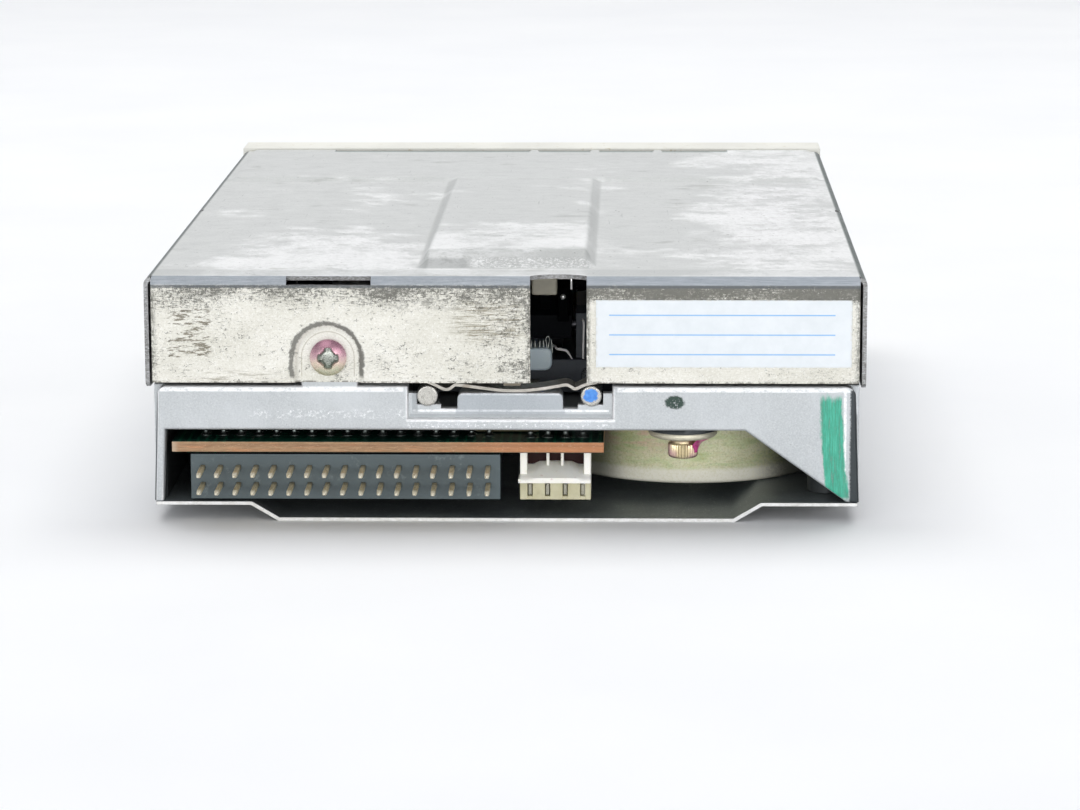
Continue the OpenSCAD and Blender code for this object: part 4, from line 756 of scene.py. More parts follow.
def make_materials():
    M["lock_paint"] = mat_lock_paint()
    M["aged_nylon"] = mat_aged_nylon()
    M["spring_strip"] = mat_spring_strip()
    M["washer"] = metal("washer_plated", lin(236, 230, 208), .46, .06, (2, 2, 2), .012, 0, .6, edge_light=.3)
    M["clamp_screw"] = metal("clamp_screw_plated", lin(232, 216, 176), .3, .08, (3, 3, 3), .01, 0, .8, tint=lin(206, 168, 168))
    M["lead_wire"] = plastic("lead_wire", lin(244, 248, 240), .4, .05, 3, .01, 0, dirt=lin(190, 196, 160))
    M["bright_wire"] = plastic("bright_wire", lin(252, 250, 248), .3, .03, 3, .01, 0, dirt=lin(228, 206, 198))
    M["arm_resin"] = plastic("arm_resin", lin(10, 13, 18), .6, .15, 3, .03, .05, dirt=lin(20, 24, 28), spec=.12)
    # near-black, used for the painted shade strip under the header and for the dark stem and lug in the opening
    M["near_black"] = plastic("near_black", lin(6, 8, 10), .8, .1, 3, .02, 0, dirt=lin(12, 14, 16), spec=.05)
    M["upper_head_arm"] = M["arm_resin"]
    M["arm_pivot_pin"] = metal("blackened_pin", (.10, .10, .11), .4)
    # dark red-brown painted shade for the power connector's windows
    M["window_shade"] = plastic("window_shade", lin(44, 14, 12), .6, .3, 2, .02, 0, dirt=lin(16, 10, 10), spec=.2)
    M["terminal"] = plastic("terminal_block", lin(228, 222, 202), .5, .3, 2.2, .02, .35, dirt=lin(104, 98, 82))
    M["cast_aluminium"] = mat_cast()
    M["yellow_zinc_screw"] = mat_zinc_screw()
    M["cover_screw_zinc"] = mat_cover_screw()
    M["label_paper"] = mat_label()
    M["shield_steel"] = mat_shield()
    M["zinc_screws"] = metal("zinc_screws", (.62, .62, .63), .32, tint=(.66, .62, .50))
    M["bezel_plastic"] = plastic("bezel_plastic", lin(238, 237, 228), .5, .04, 3.5, .02, .35, dirt=lin(186, 170, 128))
    M["lens_plastic"] = plastic("lens_plastic", (.05, .22, .08), .18, .1, 3, .004, .2)
    M["door_plastic"] = plastic("door_plastic", lin(204, 194, 166), .52, .04, 3.5, .02, .25)
    M["spring_steel"] = metal("spring_steel", (.66, .66, .65), .24, .05, (4, 4, 4), .006, 0)
    M["circuit_board"] = mat_board()
    M["chip_epoxy"] = plastic("chip_epoxy", (.022, .022, .025), .55, .1, 5, .02, .12)
    M["capacitor_sleeve"] = plastic("capacitor_sleeve", (.03, .04, .09), .28, .1, 2, .004, .3)
    # solder darkened as painted shade under the beam
    M["solder"] = metal("solder", (.17, .19, .18), .4, .05, (3, 3, 3), .01, 0)
    M["header_plastic"] = plastic("header_plastic", lin(80, 93, 97), .46, .08, 3, .02, .12, dirt=lin(122, 134, 136))
    M["gold_contacts"] = mat_pins()
    M["white_nylon"] = mat_nylon()
    M["tinned_contacts"] = metal("tinned_contacts", (.34, .33, .27), .4, .06, (3, 3, 3), .01, .08)
    M["passivated_steel"] = mat_can()
    M["ground_steel"] = metal("ground_steel", (.70, .71, .71), .16, .03, (6, 6, 6), .004, .12)
    M["turned_steel"] = metal("turned_steel", (.62, .63, .64), .26, .05, (8, 8, 1), .01, .12)
    M["band_steel"] = metal("band_steel", (.72, .72, .71), .18, .03, (2, .4, 6), .004, 0)
    M["carriage_resin"] = plastic("carriage_resin", lin(56, 62, 70), .52, .12, 3, .03, .25, dirt=lin(92, 98, 100))
    M["head_ceramic"] = plastic("head_ceramic", lin(220, 216, 204), .22, .03, 2, .004, .15)
    M["clip_plastic"] = plastic("clip_plastic", lin(228, 245, 255), .3, .05, 1.5, .01, 0, sss=.05)
    M["flex_film"] = plastic("flex_film", lin(98, 92, 66), .25, .1, 1.2, .006, 0)
    M["sensor_plastic"] = plastic("sensor_plastic", lin(34, 35, 38), .42, .1, 4, .012, .15)
    M["slider_steel"] = metal("slider_steel", (.60, .60, .58), .34, .06, (.8, 3, 3), .012, .12)
    M["button_plastic"] = plastic("button_plastic", lin(214, 204, 174), .48, .04, 3.5, .02, .35, dirt=lin(180, 164, 122))
    M["holder_steel"] = metal("holder_steel", (.64, .64, .62), .34, .06, (.6, 3, 3), .012, .12)
    M["lever_brass"] = metal("lever_brass", (.70, .54, .28), .3, .06, (3, 3, 3), .01, .12)
    M["bearing_brass"] = metal("bearing_brass", (.60, .46, .26), .36, .06, (4, 4, 4), .015, .15)
    M["motor_board"] = mat_board("motor_board", mask=(lin(70, 40, 22), lin(104, 66, 38)))
    M["stator_steel"] = metal("stator_steel", (.32, .33, .35), .4, .08, (2, 2, 9), .02, .08)
    M["coil_enamel"] = mat_coil()
    M["rotor_steel"] = metal("rotor_steel", (.62, .62, .62), .3, .05, (1.4, 1.4, 1.4), .01, .2)
    M["magnet_ferrite"] = plastic("magnet_ferrite", (.035, .035, .038), .5, .12, 4, .02, .12)
    M["plunger_plastic"] = plastic("plunger_plastic", lin(226, 226, 220), .34, .04, 2, .006, .15)
    M["guide_rods"] = mat_rods()
    M["top"] = mat_cover_top()
    M["lip"] = mat_cover_lip()
    M["side"] = mat_cover_side()
    M["cut"] = mat_cut()


make_materials()
M["plated_steel"] = M["side"]
SLOT_OF = {s["node"]: s["material_slot"] for s in frame["record"]["subparts"]}
for node, o in NODES.items():
    mat = M.get(node) or M[SLOT_OF[node]]
    if not o.material_slots:
        o.data.materials.append(mat)
    for sl in o.material_slots:
        sl.material = mat


# ------------------------------------------------------------------ mesh helpers
def link(o):
    bpy.context.scene.collection.objects.link(o)
    return o


def mesh_obj(name, verts, faces, mats, body="chassis", replaces=None, midx=None, smooth=True, angle=None):
    """verts in millimetres"""
    me = bpy.data.meshes.new(name)
    me.from_pydata([(x * MM, y * MM, z * MM) for x, y, z in verts], [], faces)
    me.update()
    if not isinstance(mats, (list, tuple)):
        mats = [mats]
    for mt in mats:
        me.materials.append(mt)
    if midx is not None:
        me.polygons.foreach_set("material_index", midx)
    o = link(bpy.data.objects.new(name, me))
    if smooth:
        me.polygons.foreach_set("use_smooth", [True] * len(me.polygons))
    if angle:
        me.set_sharp_from_angle(angle=math.radians(angle))
    finish_piece(o, body, replaces)
    return o


def finish_piece(o, body, replaces=None):
    if body:
        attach(o, body)
    if replaces:
        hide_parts(*([replaces] if isinstance(replaces, str) else replaces))
    return o


def apply_mods(o):
    """bakes the modifiers into the mesh"""
    dg = bpy.context.evaluated_depsgraph_get()
    me = bpy.data.meshes.new_from_object(o.evaluated_get(dg), preserve_all_data_layers=True, depsgraph=dg)
    old = o.data
    o.modifiers.clear()
    o.data = me
    bpy.data.meshes.remove(old)
    return o


def smoothstep(a, b, v):
    t = min(1.0, max(0.0, (v - a) / (b - a)))
    return t * t * (3 - 2 * t)


def merge_lines(vals, eps=.06):
    out = []
    for v in sorted(vals):
        if not out or v - out[-1] > eps:
            out.append(v)
    return out


def frange(a, b, d):
    n = max(1, int(round((b - a) / d)))
    return [a + (b - a) * i / n for i in range(n + 1)]


# ------------------------------------------------------------------ top cover
def build_cover():
    R, T = 1.2, .6
    keyx = [-49.6, 49.6, -49.0, 49.0, -48.3, 48.3, -34.3, 34.3, -11.5, -3.56, 18.8, 30.7, -2.2, .2,
            -1.25, .05, -11.85, -10.55, -22.85, -21.55]
    for s in (-1, 1):
        keyx += [s * v for v in frange(10.7, 13.1, .3)]
    keyx += frange(19.6, 30.2, .26)
    xs = list(keyx)
    for v in frange(-49.6, 49.6, 1.05):
        if all(abs(v - k) > .45 for k in keyx):
            xs.append(v)
    xs = merge_lines(xs, .08)
    n = len(xs)
    ykey = [-66.1, -64.5, 6.6, 8.4, 65.5, 72.3] + frange(-55.2, -53.4, .3) + frange(-28.6, -26.4, .3) + frange(60.2, 66.4, .31) + frange(69.9, 72.3, .4)
    ys = list(ykey)
    for v in frange(-66.1, 72.3, 1.25):
        if all(abs(v - k) > .5 for k in ykey):
            ys.append(v)
    ys = merge_lines(ys, .08)
    SEG = 6

    def rise(x, y):
        h = 0.0
        # front steps
        a = smoothstep(-54.9, -53.9, y) * (1 - smoothstep(-28.9, -26.2, y)) * (1 - smoothstep(48.3, 49.0, abs(x)))
        b = (1 - smoothstep(-54.9, -53.9, y)) * (1 - smoothstep(48.3, 49.0, abs(x)))
        h = max(h, .45 * a, .25 * b)
        # raised middle panel
        side = 1 - smoothstep(11.0, 12.75, abs(x))
        ends = smoothstep(-28.2, -27.2, y) * (1 - smoothstep(61.3, 65.6, y))
        top = .5 + 1.7 * min(1, max(0, (y + 27.0) / 88.5))
        h = max(h, top * side * ends)
        # faint waviness of thin sheet
        w = mnoise.noise(Vector((x * .028, y * .022, 1.7))) * .10
        w *= (1 - smoothstep(44, 49, abs(x))) * (1 - smoothstep(66, 71, y)) * smoothstep(-66, -62, y)
        return h + w

    verts, faces, midx = [], [], []
    idx = {}
    xlo, xhi = -11.5, -3.56

    def arch(x):
        return LY + 3.3 - math.sqrt(max(0, 36 - (x + 7.53) ** 2))

    # columns: left flange rows, left bend, top lines, right bend, right flange rows
    flz = frange(19.6, 34.3, .75)
    cols = []
    for z in flz:
        cols.append(("F", -1, z))
    for k in range(1, SEG):
        cols.append(("B", -1, k / SEG))
    for x in xs:
        cols.append(("T", 0, x))
    for k in range(SEG - 1, 0, -1):
        cols.append(("B", 1, k / SEG))
    for z in reversed(flz):
        cols.append(("F", 1, z))
    nf = len(flz)
    yrows = ys + [72.75, 73.2]
    ny = len(ys)

    def pt(c, j):
        y = yrows[j]
        kind, s, v = c
        if kind == "F":
            # lower rear corner is cut at a slant
            zz = v
            lowest = 19.6 + max(0.0, (y - 72.0)) * .55
            if y > 72.0:
                zz = max(v, 19.6 + (y - 72.0) * .55) if v < lowest else v
            bow = mnoise.noise(Vector((y * .03, v * .08, 5 + s))) * .06
            return (s * (50.8 - abs(bow) * (1 - smoothstep(33, 34.3, v))), y, zz)
        if kind == "B":
            a = v * math.pi / 2
            return (s * (49.6 + R * math.cos(a)), y, 34.3 + R * math.sin(a))
        yy = y
        if xlo - .01 <= v <= xhi + .01 and y > 69.9 - .01 and j < ny:
            t = (y - 69.9) / (72.3 - 69.9)
            yy = 69.9 + t * (arch(v) - 69.9)
        return (v, yy, CZ + rise(v, min(yy, 72.3)))

    for j in range(len(yrows)):
        for i, c in enumerate(cols):
            if j >= ny and c[0] == "T":
                continue
            idx[(i, j)] = len(verts)
            verts.append(pt(c, j))

    def mid(c0, c1):
        return (c0[2] + c1[2]) / 2

    for j in range(len(yrows) - 1):
        ym = (yrows[j] + yrows[j + 1]) / 2
        for i in range(len(cols) - 1):
            c0, c1 = cols[i], cols[i + 1]
            if j >= ny - 1:
                if c0[0] == "T" or c1[0] == "T":
                    continue
            keep = True
            both_t = c0[0] == "T" and c1[0] == "T"
            if both_t:
                xm = mid(c0, c1)
                if ym < -64.5 and abs(xm) < 34.3:
                    keep = any(abs(xm - t) < .66 for t in (-.6, -11.2, -22.2))
            if 6.6 < ym < 8.4 and ("B" in (c0[0], c1[0])):
                keep = False
            if keep:
                faces.append((idx[(i, j)], idx[(i, j + 1)], idx[(i + 1, j + 1)], idx[(i + 1, j)]))
                midx.append(0 if both_t else (0 if c0[0] != "F" and c1[0] != "F" else 2))
    # rear bend and lip
    lipz = merge_lines(frange(20.4, 34.3, .42) + [20.4, 34.3], .1)[::-1]
    base = nf + SEG - 1
    rows = []
    for k in range(1, SEG + 1):
        a = math.pi / 2 * (1 - k / SEG)
        rows.append(("bend", a))
    for z in lipz[1:]:
        rows.append(("lip", z))
    scx, scz = 24.9, 24.0

    def recess(x, z):
        d = math.hypot(x - scx, max(0.0, z - scz)) if z > scz else abs(x - scx)
        return smoothstep(5.05, 4.15, d) if d < 5.05 else 0.0

    prev = [idx[(base + i, ny - 1)] for i in range(n)]
    for r, (kind, v) in enumerate(rows):
        cur = []
        for i, x in enumerate(xs):
            xx = x
            if abs(abs(x) - 49.6) < .001:
                xx = math.copysign(49.6 + .2 * min(1, (r + 1) / 3), x)
            if kind == "bend":
                y, z = 72.3 + R * math.cos(v), 34.3 + R * math.sin(v)
            else:
                z = v
                y = LY - .6 * (1 - smoothstep(0, 1, 1 - recess(x, z))) if recess(x, z) > 0 else LY
                y += mnoise.noise(Vector((x * .05, z * .09, 9))) * .035 - .035
            cur.append(len(verts))
            verts.append((xx, y, z))
        for i in range(n - 1):
            xm = (xs[i] + xs[i + 1]) / 2
            if xlo < xm < xhi:
                continue
            if kind == "bend" and 18.8 < xm < 30.7 and r >= 1:
                continue
            faces.append((prev[i], cur[i], cur[i + 1], prev[i + 1]))
            midx.append(0 if kind == "bend" and r < 2 else 1)
        prev = cur
    # small tab below the lip that presses on the rod spring
    low = prev
    for k in range(1, 4):
        cur = {}
        for i, x in enumerate(xs):
            if -2.2 - .01 <= x <= .2 + .01:
                cur[i] = len(verts)
                verts.append((x, LY - .04 - .03 * k, 20.4 - .13 * k))
        ks = sorted(cur)
        for a, b in zip(ks, ks[1:]):
            faces.append((low[a], cur[a], cur[b], low[b]))
            midx.append(1)
        low = cur
    # drop unused points
    used = sorted({v for f in faces for v in f})
    rm = {v: k for k, v in enumerate(used)}
    verts = [verts[v] for v in used]
    faces = [tuple(rm[v] for v in f) for f in faces]
    # hole for the screw is hidden by its head: leave the pad whole
    faces = [tuple(reversed(f)) for f in faces]
    mats = [M["top"], M["lip"], M["side"], M["cut"], M["cut"], M["cut"]]
    o = mesh_obj("cover_sheet", verts, faces, mats, "chassis", "top_cover", midx, True)
    md = o.modifiers.new("thick", "SOLIDIFY")
    md.thickness = T * MM
    md.offset = -1
    md.use_even_offset = True
    md.material_offset_rim = 3
    md.use_quality_normals = True
    apply_mods(o)
    o.data.set_sharp_from_angle(angle=math.radians(50))
    return o


cover = build_cover()


# ------------------------------------------------------------------ rounded copies of hard parts
def part_bmesh(node, limit=.6):
    bm = bmesh.new()
    bm.from_mesh(NODES[node].data)
    bmesh.ops.remove_doubles(bm, verts=bm.verts, dist=2e-6)
    bmesh.ops.dissolve_limit(bm, angle_limit=math.radians(limit), verts=bm.verts, edges=bm.edges)
    return bm


def hard_edges(bm, angle=30, pick=None, least=0.0):
    out = []
    for e in bm.edges:
        if len(e.link_faces) != 2 or e.calc_length() < least * MM:
            continue
        if e.calc_face_angle(0) > math.radians(angle) and (pick is None or pick(e)):
            out.append(e)
    return out


def round_edges(bm, edges, r, seg=2):
    bmesh.ops.bevel(bm, geom=edges, offset=r * MM, offset_type="OFFSET", segments=seg, profile=.5, affect="EDGES", clamp_overlap=True)


def body_name(node):
    for b, members in frame["record"]["behaviour"]["bodies"].items():
        if node in members:
            return b
    raise ValueError(node)


def from_bmesh(bm, name, node, mats=None, angle=32, body=None, subsurf=0):
    bmesh.ops.recalc_face_normals(bm, faces=bm.faces)
    me = bpy.data.meshes.new(name)
    bm.to_mesh(me)
    bm.free()
    mats = mats or [M.get(node) or M[SLOT_OF[node]]]
    for mt in mats:
        me.materials.append(mt)
    me.polygons.foreach_set("use_smooth", [True] * len(me.polygons))
    me.set_sharp_from_angle(angle=math.radians(angle))
    o = link(bpy.data.objects.new(name, me))
    finish_piece(o, body or body_name(node), node)
    w = o.modifiers.new("shade", "WEIGHTED_NORMAL")
    w.keep_sharp = True
    return o


def soften(node, r=.25, seg=2, angle=35, least=.0, name=None):
    bm = part_bmesh(node)
    round_edges(bm, hard_edges(bm, angle, None, least), r, seg)
    return from_bmesh(bm, name or node + "_soft", node)


def build_chassis():
    bm = part_bmesh("chassis")
    y0 = RY * MM

    def on_rear(e):
        return all(abs(v.co.y - y0) < 2e-5 for v in e.verts)

    def outer(e):
        a, b = e.verts
        return on_rear(e) and min(abs(a.co.x), abs(b.co.x)) > 49.3 * MM and abs(a.co.z - b.co.z) > 3 * MM

    round_edges(bm, hard_edges(bm, 30, outer), .9, 4)

    def block_top(e):
        a, b = e.verts
        return a.co.z > 18.2 * MM and abs(a.co.z - b.co.z) < 1e-5 and abs(a.co.x - b.co.x) < 1e-5 and (abs(a.co.x + 8.1 * MM) < 2e-5 or abs(a.co.x - 6.85 * MM) < 2e-5) and max(a.co.y, b.co.y) < 70.7 * MM

    round_edges(bm, hard_edges(bm, 40, block_top), .85, 5)

    def rear_rest(e):
        a, b = e.verts
        if abs(a.co.x) > 49.05 * MM and abs(b.co.x) > 49.05 * MM and a.co.z < 18 * MM:
            return False
        return on_rear(e)

    es = [e for e in hard_edges(bm, 30, rear_rest, 1.3)]
    bmesh.ops.bevel(bm, geom=es, offset=.34 * MM, offset_type="OFFSET", segments=3, profile=.5, affect="EDGES", clamp_overlap=False)

    def pocket(e):
        return all(69.0 * MM < v.co.y < 70.75 * MM and abs(v.co.x) < 15.2 * MM and v.co.z > 14 * MM for v in e.verts) and e.calc_length() > .5 * MM

    round_edges(bm, hard_edges(bm, 40, pocket), .32, 3)
    return from_bmesh(bm, "casting", "chassis", angle=34)


# ------------------------------------------------------------------ lathes, tubes, screws
def lathe(profile, centre, seg=96, axis="z", close=True):
    """profile: (radius, height) pairs from the axis outwards and back; returns vertices and faces"""
    vs, fs, rings = [], [], []
    for r, h in profile:
        if r < 1e-6:
            rings.append([len(vs)])
            vs.append((0, 0, h))
        else:
            ring = []
            for k in range(seg):
                a = 2 * math.pi * k / seg
                ring.append(len(vs))
                vs.append((r * math.cos(a), r * math.sin(a), h))
            rings.append(ring)
    for a, b in zip(rings, rings[1:]):
        for k in range(seg):
            k2 = (k + 1) % seg
            if len(a) == 1 and len(b) == 1:
                continue
            if len(a) == 1:
                fs.append((a[0], b[k2], b[k]))
            elif len(b) == 1:
                fs.append((a[k], a[k2], b[0]))
            else:
                fs.append((a[k], a[k2], b[k2], b[k]))
    cx, cy, cz = centre
    out = []
    for x, y, z in vs:
        if axis == "z":
            out.append((cx + x, cy + y, cz + z))
        elif axis == "y":
            out.append((cx + x, cy + z, cz - y))
        else:
            out.append((cx + z, cy + x, cz + y))
    return out, fs


def arc(r0, h0, r1, h1, n=4, bulge=1):
    """quarter-ellipse between two profile points; bulge 1 turns outward first"""
    pts = []
    for k in range(n + 1):
        t = math.pi / 2 * k / n
        if bulge > 0:
            pts.append((r0 + (r1 - r0) * math.sin(t), h0 + (h1 - h0) * (1 - math.cos(t))))
        else:
            pts.append((r0 + (r1 - r0) * (1 - math.cos(t)), h0 + (h1 - h0) * math.sin(t)))
    return pts


class Bag:
    """collects geometry for one mesh"""
    def __init__(self):
        self.v, self.f, self.m = [], [], []

    def add(self, vs, fs, mat=0):
        o = len(self.v)
        self.v += list(vs)
        self.f += [tuple(i + o for i in f) for f in fs]
        self.m += [mat] * len(fs)
        return self

    def fix(self, me):
        bm = bmesh.new()
        bm.from_mesh(me)
        bmesh.ops.recalc_face_normals(bm, faces=bm.faces)
        bm.to_mesh(me)
        bm.free()

    def obj(self, name, mats, body, replaces=None, slot=None, angle=40):
        o = mesh_obj(name, self.v, self.f, mats, body, replaces, self.m, True)
        self.fix(o.data)
        o.data.set_sharp_from_angle(angle=math.radians(angle))
        return o


def tube(points, r, seg=10, cap=True, closed=False):
    """round bar along points, with a frame carried along the path"""
    P = [Vector(p) for p in points]
    n = len(P)
    vs, fs = [], []
    t0 = (P[1] - P[0]).normalized()
    up = Vector((0, 0, 1)) if abs(t0.z) < .9 else Vector((1, 0, 0))
    u = t0.cross(up).normalized()
    for i in range(n):
        if i == 0:
            t = (P[1] - P[0]).normalized()
        elif i == n - 1:
            t = (P[-1] - P[-2]).normalized()
        else:
            t = (P[i + 1] - P[i - 1]).normalized()
        u = (u - t * u.dot(t)).normalized()
        w = t.cross(u)
        rr = r(i / (n - 1)) if callable(r) else r
        for k in range(seg):
            a = 2 * math.pi * k / seg
            q = P[i] + u * (rr * math.cos(a)) + w * (rr * math.sin(a))
            vs.append(tuple(q))
    for i in range(n - 1):
        for k in range(seg):
            k2 = (k + 1) % seg
            fs.append((i * seg + k, i * seg + k2, (i + 1) * seg + k2, (i + 1) * seg + k))
    if cap:
        for base, sgn, p, d in ((0, 1, P[0], (P[0] - P[1]).normalized()), ((n - 1) * seg, -1, P[-1], (P[-1] - P[-2]).normalized())):
            rr = (r(0 if base == 0 else 1) if callable(r) else r)
            c = len(vs)
            vs.append(tuple(p + d * rr * .35))
            for k in range(seg):
                k2 = (k + 1) % seg
                fs.append((base + k2, base + k, c) if sgn > 0 else (base + k, base + k2, c))
    return vs, fs


def helix(c, axis, r, h0, h1, turns, wire, per=14, lead_in=None, phase=0.0):
    """coil along one axis ('x', 'y' or 'z') with closed end turns"""
    pts = []
    n = int(turns * per)
    for i in range(n + 1):
        t = i / n
        # the end turns lie close together
        e = .9 / turns
        tt = t
        if t < e:
            tt = t * .35
        elif t > 1 - e:
            tt = 1 - (1 - t) * .35
        else:
            tt = e * .35 + (t - e) / (1 - 2 * e) * (1 - 2 * e * .35)
        a = phase + 2 * math.pi * turns * t
        h = h0 + (h1 - h0) * tt
        ca, sa = r * math.cos(a), r * math.sin(a)
        if axis == "y":
            pts.append((c[0] + ca, h, c[2] + sa))
        elif axis == "x":
            pts.append((h, c[1] + ca, c[2] + sa))
        else:
            pts.append((c[0] + ca, c[1] + sa, h))
    return tube(pts, wire, 8)


def cross_head(c, axis, sign, r, h, cross=1.25, width=.34, depth=.9, rim=.35, seg=64, slot=False):
    """domed screw head with a cross recess; c is the centre of the seat, the dome points along sign * axis"""
    rings = [0, .12, .22, .32, .42, .52, .6, .68, .76, .84, .9, .95, .985, 1.0]
    vs, fs = [], []

    def height(x, y, q):
        d = math.sqrt(max(0.0, 1 - (q * .80) ** 2))
        top = h * (.42 + .58 * (d - .6) / .4) if q < 1 else h * .42
        if slot:
            a = (1 - smoothstep(width * .8, width * 1.15, abs(y)))
        else:
            reach = 1 - smoothstep(cross * .88, cross, math.hypot(x, y))
            a = max((1 - smoothstep(width * .75, width * 1.25, abs(y))), (1 - smoothstep(width * .75, width * 1.25, abs(x)))) * reach
            a = max(a, (1 - smoothstep(.62 * width / .36, .9 * width / .36, math.hypot(x, y))))
        return top - depth * a

    idx = [[0]]
    vs.append((0, 0, height(0, 0, 0)))
    fine = frange(.0, 1.0, .055)[1:]
    for q in fine:
        ring = []
        for k in range(seg):
            a = 2 * math.pi * k / seg
            x, y = r * q * math.cos(a), r * q * math.sin(a)
            ring.append(len(vs))
            vs.append((x, y, height(x, y, q)))
        idx.append(ring)
    for rr, hh in ((1.0, h * .2), (.985, 0.0)):
        ring = []
        for k in range(seg):
            a = 2 * math.pi * k / seg
            ring.append(len(vs))
            vs.append((r * rr * math.cos(a), r * rr * math.sin(a), hh))
        idx.append(ring)
    idx.append([len(vs)])
    vs.append((0, 0, 0))
    for a, b in zip(idx, idx[1:]):
        for k in range(seg):
            k2 = (k + 1) % seg
            if len(a) == 1:
                fs.append((a[0], b[k], b[k2]))
            elif len(b) == 1:
                fs.append((a[k], b[0], a[k2]))
            else:
                fs.append((a[k], b[k], b[k2], a[k2]))
    out = []
    for x, y, z in vs:
        if axis == "y":
            out.append((c[0] + x, c[1] + sign * z, c[2] + y))
        elif axis == "z":
            out.append((c[0] + x, c[1] + y, c[2] + sign * z))
        else:
            out.append((c[0] + sign * z, c[1] + x, c[2] + y))
    return out, fs


def threaded(c, axis, sign, r, l, pitch=.5, seg=24):
    """shank with shallow thread crests"""
    prof = [(0, 0)]
    h = 0
    while h < l - pitch:
        prof += [(r * .86, h), (r, h + pitch * .5)]
        h += pitch
    prof += [(r * .86, l - .3), (r * .5, l), (0, l)]
    vs, fs = lathe(prof, (0, 0, 0), seg)
    out = []
    for x, y, z in vs:
        if axis == "y":
            out.append((c[0] + x, c[1] + sign * z, c[2] + y))
        elif axis == "z":
            out.append((c[0] + x, c[1] + y, c[2] + sign * z))
        else:
            out.append((c[0] + sign * z, c[1] + x, c[2] + y))
    return out, fs


def build_screws():
    b = Bag()
    b.add(*cross_head((24.9, LY - .58, 24.0), "y", 1, 2.58, 1.5, 1.5, .50, 1.0))
    b.add(*threaded((24.9, LY - .5, 24.0), "y", -1, 1.4, 6.4))
    b.obj("cover_screw_pan", [M["cover_screw_zinc"]], "chassis", "cover_screw", "yellow_zinc_screw", 50)
    b = Bag()
    for x, y in ((45.7, -22), (-45.7, -22), (45.7, 46), (-45.7, 63)):
        b.add(*cross_head((x, y, 2.26), "z", -1, 2.28, 1.35, 1.15, .3, .8))
        b.add(*threaded((x, y, 2.2), "z", 1, 1.2, 5.2))
    b.obj("shield_screws_pan", [M["zinc_screws"]], "chassis", "shield_screws", "zinc_screws", 50)
    b = Bag()
    for x, y in ((39, 55), (5, 14), (36, 14), (-10.3, 58.5)):
        b.add(*cross_head((x, y, 9.88), "z", -1, 2.18, 1.35, 1.1, .3, .8))
        b.add(*threaded((x, y, 9.8), "z", 1, 1.05, 4.3))
    b.obj("board_screws_pan", [M["zinc_screws"]], "chassis", "board_screws", "zinc_screws", 50)


# ------------------------------------------------------------------ stepper motor
SC = (-26.5, 38.9)
CLAMPS = ((-25.2, 64.5), (-33.1, 14.2))


